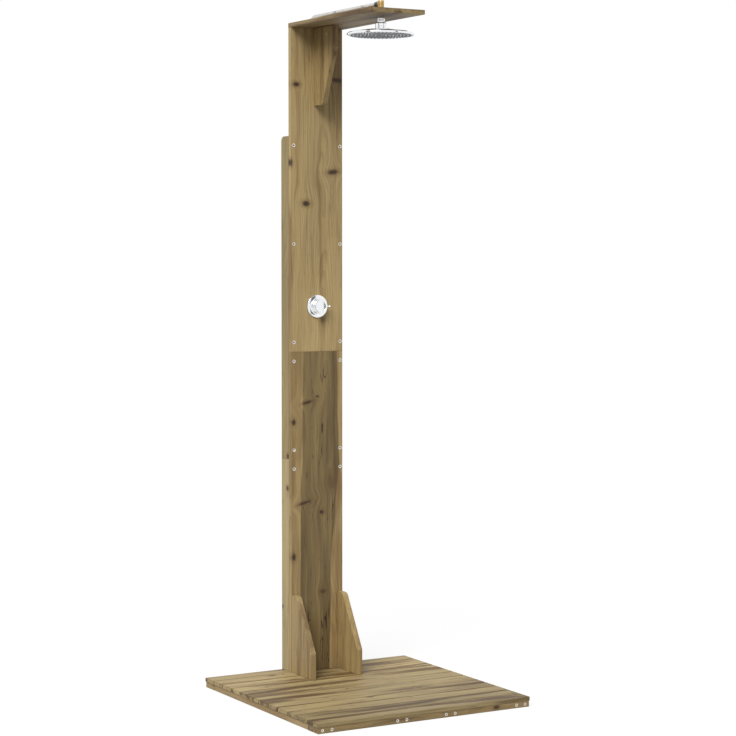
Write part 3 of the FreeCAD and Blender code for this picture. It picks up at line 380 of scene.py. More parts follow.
def finish(name, colour, metal, low, high, size=40.0, grain=900.0, bump=0.0, stain=None, stretch=(1, 1, 1),
           recess=None):
    """A metal, rubber or plastic finish. Its roughness lies between low and high by its handling marks, whose size
    and grain are scales of noise. Where a stain is given, the marks mix it in, and where a recess colour is given,
    it is painted shade on the points of the screws' crosses that a piece marks."""
    material = bpy.data.materials.new(name)
    tree = blank(material)
    place = tree.add("TexCoord").outputs["Object"]
    if stretch != (1, 1, 1):
        place = tree.add("Mapping", {"Vector": place, "Scale": stretch}).outputs[0]
    marks = place_group(tree, TOUCH, {"Place": place, "Low": low, "High": high, "Size": size, "Grain": grain})
    inputs = {"Base Color": colour, "Metallic": metal, "Roughness": marks["Roughness"]}
    if stain is not None:
        inputs["Base Color"] = tree.mix(marks["Mask"], colour, stain)
    # The recess colour is painted shade, laid on the points in the screws' crosses.
    if recess is not None:
        painted_cross_shade = tree.add("Attribute", attribute_name="recess").outputs["Fac"]
        inputs["Base Color"] = tree.mix(painted_cross_shade, inputs["Base Color"], recess)
    if bump:
        inputs["Normal"] = tree.add("Bump", {"Height": marks["Height"], "Strength": bump,
                                             "Distance": 0.0004}).outputs[0]
    surface = tree.add("BsdfPrincipled", inputs)
    tree.add("OutputMaterial", {"Surface": surface.outputs[0]})
    return material


CHROME = finish("chrome", screen(240, 242, 244), 1.0, 0.05, 0.12, size=25)
BRASS = finish("brass", screen(190, 161, 104), 1.0, 0.22, 0.38, stain=screen(158, 126, 74), bump=0.15)
PIPE_METAL = finish("pipe_metal", screen(214, 212, 207), 1.0, 0.3, 0.38, size=60, stain=screen(202, 200, 195),
                    stretch=(1, 1, 0.05), bump=0.04)
# The zinc's recess colour is painted shade in the crosses of the screw heads.
ZINC = finish("zinc", screen(234, 228, 218), 1.0, 0.2, 0.36, size=300, stain=screen(212, 204, 193), bump=0.2,
              recess=screen(112, 102, 90))
DARK_STEEL = finish("dark_steel", screen(96, 94, 94), 1.0, 0.3, 0.45, size=120, stain=screen(74, 72, 72))
RUBBER = finish("rubber", screen(38, 38, 39), 0.0, 0.6, 0.8, size=90, stain=screen(50, 50, 50), bump=0.3)
SILICONE = finish("silicone", screen(158, 160, 162), 0.0, 0.4, 0.55, size=80, stain=screen(146, 148, 150))
FACE_GREY = finish("face_grey", screen(122, 125, 128), 1.0, 0.16, 0.3, size=50, stain=screen(108, 111, 114))
CLIP_GREY = finish("clip_grey", screen(176, 177, 176), 0.0, 0.35, 0.5, size=70, stain=screen(166, 167, 166), bump=0.2)
SEAT_WHITE = finish("seat_white", screen(224, 222, 214), 0.0, 0.3, 0.42, size=90, stain=screen(214, 212, 203))
CERAMIC = finish("ceramic", screen(232, 230, 224), 0.0, 0.12, 0.2, size=90, stain=screen(224, 222, 216))


# ---------------------------------------------------------------- new surfaces
def grid_faces(rows, columns, rows_close, columns_close):
    """Four-sided faces over a grid of points, row by row. A grid that closes also joins its last to its first."""
    row = np.arange(rows if rows_close else rows - 1)
    column = np.arange(columns if columns_close else columns - 1)
    a, b = (part.ravel() for part in np.meshgrid(row, column, indexing="ij"))
    after_a = (a + 1) % rows
    after_b = (b + 1) % columns
    return np.stack([a * columns + b, a * columns + after_b, after_a * columns + after_b, after_a * columns + b], 1)


def outline(*corners, steps=6):
    """A half section (radius, height) in millimetres. A corner with a third number is rounded to that radius: the
    points run evenly round the arc that touches both its sides."""
    points = []
    count = len(corners)
    for index, corner in enumerate(corners):
        here = np.array(corner[:2], float)
        if len(corner) < 3:
            points.append(here)
            continue
        back = np.array(corners[index - 1][:2], float) - here
        ahead = np.array(corners[(index + 1) % count][:2], float) - here
        back /= np.linalg.norm(back)
        ahead /= np.linalg.norm(ahead)
        half = math.acos(float(np.clip(back @ ahead, -1, 1))) / 2
        middle = here + (back + ahead) / np.linalg.norm(back + ahead) * corner[2] / math.sin(half)
        first = here + back * corner[2] / math.tan(half) - middle
        last = here + ahead * corner[2] / math.tan(half) - middle
        swing = math.pi - 2 * half
        for share in np.linspace(0, 1, steps):
            points.append(middle + (math.sin((1 - share) * swing) * first + math.sin(share * swing) * last)
                          / math.sin(swing))
    return np.array(points) * MM


def turn_to(direction):
    """The matrix that turns +Z to a direction."""
    return np.array(Vector(direction).to_track_quat("Z", "Y").to_matrix())


def angles(sides):
    """A full turn in even steps."""
    return np.arange(sides) * (2 * math.pi / sides)


def ringed(radii, heights, sides, closes=False, unit=MM):
    """Points and faces of rings about +Z: (r cos a, r sin a, h), a from 0 to a full turn. Each ring's radius and
    height are one number, or one for each angle."""
    angle = angles(sides)
    rings = [np.stack([r * np.cos(angle), r * np.sin(angle), h + 0 * angle], -1) for r, h in zip(radii, heights)]
    return np.concatenate(rings) * unit, grid_faces(len(rings), sides, closes, True)


def revolved(section, place, direction=(0, 0, 1), sides=96):
    """A half section carried round an axis, ring by ring. A section whose ends both lie on the axis is open, any
    other closes on itself."""
    closes = not (section[0, 0] == 0 and section[-1, 0] == 0)
    points, faces = ringed(section[:, 0], section[:, 1], sides, closes, unit=1.0)
    return points @ turn_to(direction).T + np.array(place), faces


def hexagon(angle):
    """How far out a hexagon reaches at an angle, for corners at 1: cos 30 / cos(angle from the middle of a side)."""
    return math.cos(math.pi / 6) / np.cos((angle + math.pi / 6) % (math.pi / 3) - math.pi / 6)


def square(angle, bevel):
    """How far out a square reaches at an angle, for sides at 1, with its corners cut off by a bevel."""
    across = np.maximum(np.abs(np.cos(angle)), np.abs(np.sin(angle)))
    corner = np.abs(np.cos(angle)) + np.abs(np.sin(angle))
    return np.minimum(1 / across, (2 - bevel) / corner)


def together(*parts):
    """Several sets of points and faces as one."""
    points = []
    faces = []
    count = 0
    for part_points, part_faces in parts:
        points.append(part_points)
        faces.append(part_faces + count)
        count += len(part_points)
    return np.concatenate(points), np.concatenate(faces)


def new_object(name, data):
    """A new object in the scene."""
    made = bpy.data.objects.new(name, data)
    bpy.context.scene.collection.objects.link(made)
    return made


def piece(name, surface, material, body, replaced, sharp=32.0, painted_cross_shade=False):
    """A new piece from points and faces. Points that meet are joined, faces are turned outwards, and edges are
    smooth unless they are sharper than an angle in degrees. A piece with painted cross shade is a set of screws:
    the finish paints shade into their crosses."""
    points, faces = surface
    mesh = bpy.data.meshes.new(name)
    mesh.from_pydata(points, [], faces)
    # The points in each screw's cross get painted shade from the finish.
    if painted_cross_shade:
        cross, _ = screw_cross()
        marks = np.tile(cross, len(points) // len(cross)).astype(np.float32)
        mesh.attributes.new("recess", "FLOAT", "POINT").data.foreach_set("value", marks)
    work = bmesh.new()
    work.from_mesh(mesh)
    bmesh.ops.remove_doubles(work, verts=work.verts, dist=2e-7)
    bmesh.ops.dissolve_degenerate(work, edges=work.edges, dist=1e-8)
    bmesh.ops.recalc_face_normals(work, faces=work.faces)
    work.to_mesh(mesh)
    work.free()
    mesh.shade_smooth()
    mesh.set_sharp_from_angle(angle=math.radians(sharp))
    made = new_object(name, mesh)
    mesh.materials.append(material)
    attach(made, body)
    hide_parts(*replaced)


SCREW_SIDES = 32
SCREW_RINGS = (0.0, 0.1, 0.2, 0.3, 0.42, 0.54, 0.62, 0.7, 0.84, 0.95, 1.0)     # of the head, parts of its radius
SHANK_RINGS = 6                # below the head
# head's radius, shank's radius, length and depth of the cross, millimetres
SCREW_SIZES = {"post": (6.2, 2.5, 50, 1.8), "roof": (5.5, 2.5, 45, 1.6), "rail": (5.5, 2.5, 110, 1.6),
               "plank": (3.5, 1.75, 28, 1.1), "clip": (3.5, 1.75, 19.8, 1.1), "foot": (5.5, 2.5, 60, 1.6)}


def screw_cross():
    """Which of a screw's points lie in its cross, inside either of two crossed bars, and how deep there, from 1 in
    the middle down to about 0.1 at the bars' ends. The bars are 0.2 of the head's radius to each side, 0.6 long."""
    # The mask made here picks the points where the finish paints shade into the cross.
    angle = angles(SCREW_SIDES)
    rings = np.array(SCREW_RINGS)[:, None]
    nearest = np.minimum(np.abs(rings * np.cos(angle)), np.abs(rings * np.sin(angle)))
    inside = (nearest < 0.2) & (rings < 0.6)
    depth = np.where(inside, 1.15 - rings / 0.6, 0.0)
    below = np.zeros(SHANK_RINGS * SCREW_SIDES)
    return np.concatenate([inside.ravel(), below]), depth


def screw_form(kind, proud=0.0):
    """A countersunk screw along +Z from its head. The head's height is a low dome less the cross. Then come the
    cone, the threaded shank and the point. A proud head stands that far out of the wood."""
    radius, shank, length, recess = (size * MM for size in SCREW_SIZES[kind])
    proud = proud * MM
    rings = np.array(SCREW_RINGS) * radius
    _, depth = screw_cross()
    dome = 0.07 * radius * (rings / radius) ** 2
    rest = np.array([(radius, 0.8 * MM - proud * 0.8), (radius * 0.86, 0.9 * MM), (shank, 3.4 * MM),
                     (shank * 0.8, 3.8 * MM), (shank * 0.8, length - 5 * MM), (0.0, length)])
    heights = [*(dome[:, None] + depth * recess - proud), *rest[:, 1]]
    return ringed([*rings, *rest[:, 0]], heights, SCREW_SIDES, unit=1.0)


def put(form, place, direction, spin=0.0):
    """A form made along +Z, spun about it, turned to a direction and moved to a place."""
    points, faces = form
    cos, sin = math.cos(spin), math.sin(spin)
    about = np.array([[cos, -sin, 0], [sin, cos, 0], [0, 0, 1]])
    return points @ about.T @ turn_to(direction).T + np.array(place), faces


def screwed(form, places, chance):
    """A screw at each place, which comes with its direction, spun at random."""
    return [put(form, place, direction, chance.uniform(0, 3)) for place, direction in places]


def swept(path, radius, sides=48):
    """A tube: at each point of the path, a circle square to the path's direction, in two axes that turn as
    little as they can from point to point."""
    path = np.asarray(path, float)
    ahead = np.gradient(path, axis=0)
    ahead /= np.linalg.norm(ahead, axis=1)[:, None]
    side = np.broadcast_to(np.array([1.0, 0, 0]), ahead.shape)
    up = np.cross(ahead, side)
    angle = angles(sides)
    around = (side[:, None] * np.cos(angle)[None, :, None] + up[:, None] * np.sin(angle)[None, :, None])
    points = path[:, None] + around * radius
    return points.reshape(-1, 3), grid_faces(len(path), sides, False, True)


def hollow_tube(path, outside, inside):
    """A tube with a bore: the outer skin forwards and the inner skin back, closed by the rings at both ends."""
    outer, _ = swept(path, outside)
    inner, _ = swept(path, inside)
    sides = len(outer) // len(path)
    inner = inner.reshape(len(path), sides, 3)[::-1].reshape(-1, 3)
    return np.concatenate([outer, inner]), grid_faces(2 * len(path), sides, True, True)


# ---------------------------------------------------------------- boards
FRONT = panel_front / MM
PLANKS = ["deck_plank_%02d" % number for number in range(1, 13)]
# Knots as timber takes them. All but the deck's second are at their places in the photograph.
UPPER_KNOTS = [(-81, FRONT, 2085, 8, 13, 0, 1), (80, FRONT, 2105, 8, 24, -0.1, 1), (64, FRONT, 1784, 9, 22, 0.1, 1),
               (-43, FRONT, 1673, 10, 15, 0, 1), (22, FRONT, 1265, 9, 6, 0, 0.3), (-103, FRONT, 1814, 12, 7, 0, 1)]
LOWER_KNOTS = [(-39, FRONT, 979, 6, 21, 0.2, 1), (1, FRONT, 999, 4, 6, 0, 1), (-93, FRONT, 911, 11, 8, 0, 1),
               (57, FRONT, 691, 26, 18, 0, 0.3), (-51, FRONT, 627, 6, 26, 0.25, 1), (17, FRONT, 591, 8, 9, 0, 1),
               (-93, FRONT, 439, 13, 8, 0, 1), (24, FRONT, 310, 8, 13, 0, 0.8)]
DECK_KNOTS = [(-184, 322, 33, 14, 7, 0, 1), (-60, -145, 33, 15, 6, 0, 0.8)]
# The lower panel's heartwood band: levels up it, and how far its two edges stand from the middle there
HEART_LEVELS = (33, 250, 416, 468, 556, 661, 749, 837, 978, 1157)
HEART_LEFT = (-70, -68, -66, -66, -65, -64, -60, -58, -57, -56)
HEART_RIGHT = (50, 52, 55, 58, 68, 76, 87, 86, 82, 80)


def dress(node, material):
    """Give a CAD node its finish."""
    slots = NODES[node].data.materials
    slots.clear()
    slots.append(material)


def dress_boards():
    """Every board's timber, each with the next number. The planks are a little lighter towards the back."""
    number = 0

    def board(node, grain, **looks):
        nonlocal number
        number += 1
        dress(node, timber("timber_" + node, node, grain, number, **looks))

    chance = np.random.default_rng(7)
    deck_low, deck_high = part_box("front_rail")[0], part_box("rear_rail")[1]
    for node in PLANKS:
        low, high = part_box(node)
        knots = [knot for knot in DECK_KNOTS if low.y < knot[1] * MM < high.y]
        to_back = (low.y - deck_low.y) / (deck_high.y - deck_low.y)
        board(node, "X", knots=knots, figure=float(chance.uniform(0.85, 1.35)), ring=5.5,
              tone=0.81 + 0.16 * to_back + float(chance.uniform(-0.03, 0.03)), sap=(177, 156, 109),
              brown=(96, 71, 37), mineral=0.8)
    board("front_rail", "X rail", knots=[(269, -406, 12, 13, 7, 0, 1)], figure=0.95, tone=0.86, sap=(164, 139, 94),
          brown=(92, 70, 42))
    board("rear_rail", "X rail", figure=0.95, tone=0.93, brown=(92, 70, 42))
    for node in ("joist_left_outer", "joist_left_inner", "joist_right_inner", "joist_right_outer"):
        board(node, "Y", figure=0.6, tone=0.98)
    board("lower_panel", "Z", knots=LOWER_KNOTS, band=(HEART_LEVELS, HEART_LEFT, HEART_RIGHT), figure=0.8,
          mineral=0.15, sap=(167, 144, 100), brown=(131, 107, 69))
    board("upper_panel", "Z", knots=UPPER_KNOTS, figure=1.0, mineral=0.25, sap=(174, 151, 105),
          brown=(131, 107, 69))
    board("left_side_board_lower", "Z plate", knots=[(-101.5, 362, 678, 9, 8, 0, 1), (-101.5, 399, 257, 6, 5, 0, 1)],
          figure=0.35, sap=(168, 151, 110))
    board("left_side_board_upper", "Z plate", knots=[(-101.5, 359, 791, 9, 8, 0, 1)], figure=0.5, sap=(147, 130, 90))
    board("right_side_board_lower", "Z plate", figure=0.45)
    board("right_side_board_upper", "Z plate", figure=0.5)
    board("left_guard", "Z plate", figure=0.8, tone=0.92, sap=(166, 143, 98))
    board("right_guard", "Z plate", figure=0.7, tone=0.96, sap=(165, 141, 94))
    board("roof_board", "Y", figure=0.95, tone=0.88, brown=(104, 80, 50), mineral=0.4)
    board("roof_gusset", "Z plate", figure=1.0, tone=0.95, sap=(163, 139, 92), brown=(112, 88, 54))


# ---------------------------------------------------------------- screws and bolts
SIDE_X = 91.5                   # middles of the side boards, guards and inner joists
JOIST_X = 365                   # middles of the outer joists
RAIL_SCREW_OFFSET = 17          # each screw of a pair, from the middle of its joist
ROOF_SCREW_X = 60
SCREW_PROUD = 0.9               # how far the post's screw heads stand out
PANEL_SCREW_LEVELS = (66, 748, 814, 1124, 1190, 1532, 1874)
GUARD_SCREW_LEVELS = (123, 237)
GUARD_SCREWS = (28, 95)         # from below, ahead of the panel's front
SIDE_SCREWS = (14, 41)          # from below, behind the panel's back
GUSSET_HEIGHT = 269
GUSSET_HALF = 10                # of its thickness
UPRIGHT_BOLTS = (18, 87)        # ahead of the panel's front
BARREL_DEPTH = 27               # of the upright bolts' barrel nuts, below the roof board
LOW_BARREL = 31                 # the third barrel nut, above the gusset's foot and ahead of its back
PAST_NUT = 8                    # how far each bolt runs past the middle of its nut


def fix_post():
    """The screws through the panels, the guards' screws and the roof board's."""
    chance = np.random.default_rng(11)
    along_post = [((side * SIDE_X * MM, panel_front, level * MM), (0, 1, 0))
                  for level in PANEL_SCREW_LEVELS for side in (-1, 1)]
    along_post += [((side * SIDE_X * MM, panel_rear, level * MM), (0, -1, 0))
                   for level in GUARD_SCREW_LEVELS for side in (-1, 1)]
    on_roof = [((side * ROOF_SCREW_X * MM, (panel_front + panel_rear) / 2, roof_high.z), (0, 0, -1))
               for side in (-1, 1)]
    forms = screwed(screw_form("post", SCREW_PROUD), along_post, chance)
    forms += screwed(screw_form("roof"), on_roof, chance)
    piece("post_screw_set", together(*forms), ZINC, "root", ("post_screws",), painted_cross_shade=True)


def fix_rails():
    """The pairs of screws through the front and rear rails into the joists' ends."""
    deck_low, deck_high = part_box("front_rail")
    places = [(((centre + offset) * MM, end * -deck_low.y, (deck_low.z + deck_high.z) / 2), (0, -end, 0))
              for centre in (-JOIST_X, -SIDE_X, SIDE_X, JOIST_X)
              for offset in (-RAIL_SCREW_OFFSET, RAIL_SCREW_OFFSET) for end in (-1, 1)]
    forms = screwed(screw_form("rail"), places, np.random.default_rng(12))
    piece("rail_screw_set", together(*forms), ZINC, "root", ("rail_screws",), painted_cross_shade=True)


def bolt_form(length, sides=48):
    """A countersunk bolt with a hexagonal socket: rings that draw out from the socket's floor to its six walls and
    its round mouth, then the section of the head and shank."""
    section = outline((2.6, 0), (5.7, 0, 0.3), (6, 0.5), (3, 3.3), (3, length - 0.5), (2.5, length), (0, length))
    reach = hexagon(angles(sides)) / math.cos(math.pi / 6) * MM        # for sides at 1 mm
    radii = [0 * reach, 0.6 * reach, 2.0 * reach, 2.0 * reach, 2.6 * MM, *section[1:, 0]]
    heights = [2.5 * MM, 2.5 * MM, 2.2 * MM, 0.1 * MM, 0.0, *section[1:, 1]]
    return ringed(radii, heights, sides, unit=1.0)


def fix_gusset():
    """The gusset's three bolts and their barrel nuts, whose slotted round ends show on its left face."""
    roof_top = roof_high.z / MM
    nut_level = roof_low.z / MM - BARREL_DEPTH
    low_level = roof_low.z / MM - GUSSET_HEIGHT + LOW_BARREL
    runs = [((0, FRONT - setback, roof_top), (0, FRONT - setback, nut_level)) for setback in UPRIGHT_BOLTS]
    runs.append(((0, panel_rear / MM, low_level), (0, FRONT - LOW_BARREL, low_level)))
    bolts = []
    barrels = []
    for head, nut in runs:
        run = np.array(nut) - np.array(head)
        length = float(np.linalg.norm(run))
        bolts.append(put(bolt_form(length + PAST_NUT), np.array(head) * MM, run / length))
        barrels.append(put(slotted_barrel(radius=5.0, length=16.0),
                           (-GUSSET_HALF * MM, nut[1] * MM, nut[2] * MM), (1, 0, 0)))
    piece("gusset_bolt_set", together(*bolts), ZINC, "root", ("gusset_bolts",))
    piece("barrel_nut_set", together(*barrels), ZINC, "root", ("gusset_barrel_nuts",))


def slotted_barrel(radius, length, sides=48):
    """A round bar with a slot across its first end: on the end's rings, the height falls inside the slot."""
    rings = np.array([0.0, 0.3, 0.55, 0.75, 0.88, 0.97])[:, None] * radius
    slot = np.where(np.abs(rings * np.sin(angles(sides))) < 0.17 * radius, 1.2, 0.0)
    return ringed([*rings, radius, radius, radius - 0.4, 0.0], [*slot, 0.35, length - 0.4, length, length], sides)


# ---------------------------------------------------------------- pipework
PIPE_RADIUS = 7.5
PIPE_BORE = 5.5                # radius
PIPE_DEPTH = 18.0              # from the panel's back to the pipes' axis
BEND_RADIUS = 28               # of that axis


def run_pipes():
    """The inlet pipe, and the riser: straight up from the valve, a quarter bend, and along the roof board."""
    low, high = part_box("riser_pipe")
    radius = PIPE_RADIUS * MM
    bore = PIPE_BORE * MM
    bend = BEND_RADIUS * MM
    y = high.y - radius
    arm = high.z - radius
    turn = np.linspace(0, math.pi / 2, 17)
    up = [(0, y, z) for z in np.linspace(low.z, arm - bend, 12, endpoint=False)]
    around = [(0, y - bend + bend * math.cos(a), arm - bend + bend * math.sin(a)) for a in turn]
    along = [(0, v, arm) for v in np.linspace(y - bend, low.y, 12)[1:]]
    piece("riser_tube", hollow_tube(up + around + along, radius, bore), PIPE_METAL, "root",
          ("riser_pipe",), sharp=50)
    low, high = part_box("inlet_pipe")
    path = [(0, y, z) for z in np.linspace(low.z, high.z, 12)]
    piece("inlet_tube", hollow_tube(path, radius, bore), PIPE_METAL, "root", ("inlet_pipe",), sharp=50)


def make_arm_nut():
    """The dark nut at the end of the arm: its section, with fine flutes where the radius dips with the angle."""
    low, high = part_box("arm_nut")
    section = outline((7.1, 0), (9.4, 0, 0.8), (9.4, 3), (9.4, 17), (9.4, 20, 0.8), (7.6, 20), (7.6, 16), (7.1, 16))
    points, faces = revolved(section, (0, 0, 0), sides=120)
    radius = np.hypot(points[:, 0], points[:, 1])
    angle = np.arctan2(points[:, 1], points[:, 0])
    on_flutes = (radius > 9.3 * MM) & (points[:, 2] > 2.5 * MM) & (points[:, 2] < 17.5 * MM)
    dip = 1 - 0.025 * on_flutes * (0.5 + 0.5 * np.cos(30 * angle))
    points[:, :2] *= dip[:, None]
    middle = (low + high) / 2
    place = (middle.x, low.y, middle.z)
    piece("arm_coupling", put((points, faces), place, (0, 1, 0)), DARK_STEEL, "root", ("arm_nut",))


def nut_form(corner, length, bore, bevel=1.3, sides=96):
    """A hexagon nut along +Z. Each side's reach is the smaller of the hexagon's and a cone's, which starts inside
    the corners at both ends, so that the corners are rounded off as a lathe does it."""
    steps = np.linspace(0, 1, 7)
    height = np.concatenate([steps * bevel, length - bevel + steps * bevel])
    cone = np.concatenate([corner - bevel * (1 - steps) * 1.2, corner - bevel * steps * 1.2])
    outside = np.minimum(corner * hexagon(angles(sides)), cone[:, None])
    return ringed([bore, *outside, bore], [0.0, *height, length], sides, closes=True)


UNION_NUTS = (-44, 30)         # the two at the valve, from its middle


def fit_union_nuts():
    """The three hexagon nuts on the pipes' ends."""
    pipe_low, pipe_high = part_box("inlet_pipe")
    y = (pipe_low.y + pipe_high.y) / 2
    levels = [pipe_low.z / MM] + [valve_place.z / MM + rise for rise in UNION_NUTS]
    nut = nut_form(corner=12.0, length=14.0, bore=7.6)
    piece("union_nut_set", together(*(put(nut, (0, y, level * MM), (0, 0, 1)) for level in levels)), BRASS, "root",
          ("union_nuts",), sharp=25)


WASHER = 1.5
ELBOW_ARM = 11                 # its axis, below the crown


def fit_roof_elbow():
    """The elbow over the head: its leg, flange and crown turned about the head's axis, its arm about the pipe's."""
    low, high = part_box("roof_elbow")
    bottom, top = low.z / MM, high.z / MM
    flange = roof_high.z / MM + WASHER
    arm = top - ELBOW_ARM
    body = outline((4, bottom), (10.3, bottom, 0.5), (10.3, flange, 0.2), (14, flange, 0.4), (14, flange + 3.5, 1),
                   (10.3, flange + 3.5, 1.6), (10.3, top, 3), (0, top), (0, arm), (4, arm))
    neck = outline((4, 4), (8.6, 4), (8.6, 11.6, 1), (7, 12.2, 0.4), (7, 26.2, 0.5), (4, 26.2))
    y = ball_place.y
    piece("roof_elbow_casting", together(revolved(body, (0, y, 0), sides=96),
                                         revolved(neck, (0, y, arm * MM), (0, 1, 0), 64)),
          BRASS, "root", ("roof_elbow",), sharp=40)


THREAD_PITCH = 1.8


def fit_inlet():
    """The inlet elbow, about its thread's axis: a bore, a thread whose radius is a zigzag of height plus turn, and
    a block with bevelled corners."""
    low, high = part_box("inlet_elbow")
    sides = 96
    angle = angles(sides)
    back = high.y / MM
    front = low.y / MM
    shoulder = back - 13
    rows = [(0, back - 30), (6.5, back - 30), (6.5, back - 0.6), (7.1, back), (9.2, back)]
    for height in np.linspace(back - 0.4, shoulder + 0.8, 40):
        turn = (height / THREAD_PITCH + angle / (2 * math.pi)) % 1
        rows.append((9.45 + np.minimum(2 * turn, 2 - 2 * turn), height))
    rows.append((9.3, shoulder))
    block = square(angle, 0.24)
    for half, height in ((11.7, shoulder), (12.5, shoulder - 0.8), (12.5, front + 0.8), (11.7, front), (0, front)):
        rows.append((half * block, height))
    surface = ringed(*zip(*rows), sides)
    piece("inlet_casting", put(surface, (0, 0, (low.z + high.z) / 2), (0, 1, 0)), BRASS, "root",
          ("inlet_elbow",), sharp=35)


def clip_form(depth):
    """A snap clip about the pipe's axis, open to +Y: a wall of rounded section carried round an arc, from lip to
    lip, and the block of its foot down to the wood."""
    inner, outer, half = 7.6, 9.6, 6.0
    turn = np.linspace(math.radians(145), math.radians(395), 49)
    corner = np.linspace(0, math.pi / 2, 5)
    quarter = np.stack([np.cos(corner), np.sin(corner)], -1)
    section = np.concatenate([
        np.array((0.5, half - 0.5)) + 0.5 * quarter,
        np.array((-0.5, half - 0.5)) + 0.5 * quarter[::-1] * (-1, 1),
        np.array((-0.5, 0.5 - half)) - 0.5 * quarter,
        np.array((0.5, 0.5 - half)) + 0.5 * quarter[::-1] * (1, -1)])
    swell = np.array([0.0] + [1.0] * len(turn) + [0.0])[:, None]
    turn = np.concatenate([[turn[0]], turn, [turn[-1]]])
    radius = (inner + outer) / 2 + swell * section[:, 0]
    ring = np.stack([radius * np.cos(turn)[:, None], radius * np.sin(turn)[:, None], swell * section[:, 1]], -1)
    ring = ring.reshape(-1, 3) * MM, grid_faces(len(turn), len(section), False, True)
    sides = 64
    block = square(angles(sides), 0.12)
    halves = (0, 5.2, 6, 6, 0)
    foot_points, foot_faces = ringed([half * block for half in halves], (8.4, 8.4, 9.2, depth, depth), sides)
    foot_points = np.stack([foot_points[:, 0], -foot_points[:, 2], foot_points[:, 1]], -1)
    return together(ring, (foot_points, foot_faces))


INLET_LEVEL = 100.0            # of the inlet elbow's axis
ARM_CLIP_OFFSETS = (140, 330)  # from the panel's front, along the roof board
ARM_CLIP_DEPTH = 26.0          # from the roof board to the pipe's axis
CLIP_SCREW_DEPTH = 7.7         # from the pipe's axis to the clip's floor


def clip_levels():
    """Heights of the clips on the panel's back: a quarter of the way from the inlet to the panels' joint, and so
    far below the joint and above the valve, and half that below the roof board."""
    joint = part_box("lower_panel")[1].z / MM
    quarter = (joint - INLET_LEVEL) / 4
    return INLET_LEVEL + quarter, joint - quarter, valve_place.z / MM + quarter, roof_low.z / MM - quarter / 2


def snap_clips():
    """The four clips on the panel's back and the two on the roof board, each in its own three directions."""
    pipe_y = panel_rear + PIPE_DEPTH * MM
    arm = roof_high.z / MM + ARM_CLIP_DEPTH
    forms = []
    for level in clip_levels():
        points, faces = clip_form(PIPE_DEPTH)
        forms.append((points + np.array((0, pipe_y, level * MM)), faces))
    for offset in ARM_CLIP_OFFSETS:
        points, faces = clip_form(ARM_CLIP_DEPTH)
        turned = np.stack([-points[:, 0], points[:, 2], points[:, 1]], -1)
        forms.append((turned + np.array((0, panel_front - offset * MM, arm * MM)), faces))
    piece("snap_clip_set", together(*forms), CLIP_GREY, "root", ("pipe_clips",), sharp=40)


def fix_underside():
    """The plank screws from below, the clips' screws, and the screws from below into the guards and side boards."""
    chance = np.random.default_rng(13)
    planks = []
    for node in PLANKS:
        low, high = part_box(node)
        planks += [((side * JOIST_X * MM, (low.y + high.y) / 2, 0), (0, 0, 1)) for side in (-1, 1)]
    on_panel = [((0, panel_rear + (PIPE_DEPTH - CLIP_SCREW_DEPTH) * MM, level * MM), (0, -1, 0))
                for level in clip_levels()]
    on_arm = [((0, panel_front - offset * MM, roof_high.z + (ARM_CLIP_DEPTH - CLIP_SCREW_DEPTH) * MM), (0, 0, -1))
              for offset in ARM_CLIP_OFFSETS]
    forms = screwed(screw_form("plank"), planks, chance) + screwed(screw_form("clip"), on_panel, chance)
    forms += screwed(screw_form("plank"), on_arm, chance)
    piece("small_screw_set", together(*forms), ZINC, "root", ("small_screws",), painted_cross_shade=True)
    levels = [FRONT - setback for setback in GUARD_SCREWS] + [panel_rear / MM + setback for setback in SIDE_SCREWS]
    feet = [((side * SIDE_X * MM, y * MM, 0), (0, 0, 1)) for y in levels for side in (-1, 1)]
    piece("foot_screw_set", together(*screwed(screw_form("foot"), feet, chance)), ZINC, "root",
          ("foot_screws",), painted_cross_shade=True)


# ---------------------------------------------------------------- valve
OUTWARD = (0, -1, 0)


def cast_valve():
    """The brass body behind the panel: its barrel turned about the valve's axis, a port up and a port down."""
    back = -59.0
    barrel = outline((0, back), (13, back, 1), (16, back + 3, 2), (16, -24, 1), (18.5, -23, 0.6), (18.5, -20, 0.4),
                     (13.5, -20), (13.5, 9, 0.6), (9.1, 9), (9.1, back + 6), (0, back + 6))
    port = outline((5.5, 12), (10, 12), (10, 24, 0.6), (10.9, 25, 0.4), (10.9, 29, 0.5), (9.6, 30, 0.3), (5.5, 30))
    y = panel_rear + PIPE_DEPTH * MM
    ports = [revolved(port, (0, y, valve_place.z), (0, 0, way), 64) for way in (-1, 1)]
    piece("valve_casting", together(revolved(barrel, valve_place, OUTWARD, 96), *ports), BRASS, "root",
          ("valve_body",), sharp=40)


def fit_valve():
    """The cover, the knob and the lever pin, each turned about the valve's axis."""
    cover = outline((38.2, 1.2), (39.7, 1.2, 0.4), (39.7, 4.2, 1.4), (28.5, 4.9, 6), (25, 6.6, 2.6), (25, 13, 1.6),
                    (13.6, 13, 0.3), (13.6, 11.5), (23.5, 11.5), (23.5, 3.3), (38.2, 2.7))
    piece("valve_cover", revolved(cover, valve_place, OUTWARD, 128), CHROME, "root", ("cover_plate",))
    knob = outline((4.05, 13.4), (23.2, 13.4, 0.6), (23.2, 28.4, 1.3), (19.6, 28.4, 0.2), (19.3, 28.1, 0.2),
                   (0, 28.1), (0, 24.9), (4.05, 24.9))
    piece("valve_knob", revolved(knob, valve_place, OUTWARD, 128), CHROME, "valve_lever", ("knob",))
    low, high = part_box("lever_pin")
    middle = (low + high) / 2
    length = (high.x - low.x) / MM
    pin = outline((0, 0), (2.9, 0, 0.2), (2.9, length - 7), (2.45, length - 6.2, 0.3), (2.45, length - 5, 0.3),
                  (2.9, length - 4.4, 0.3), (2.9, length, 1.5), (0, length))
    piece("lever_rod", revolved(pin, (low.x, middle.y, middle.z), (1, 0, 0), 48), CHROME, "valve_lever",
          ("lever_pin",))


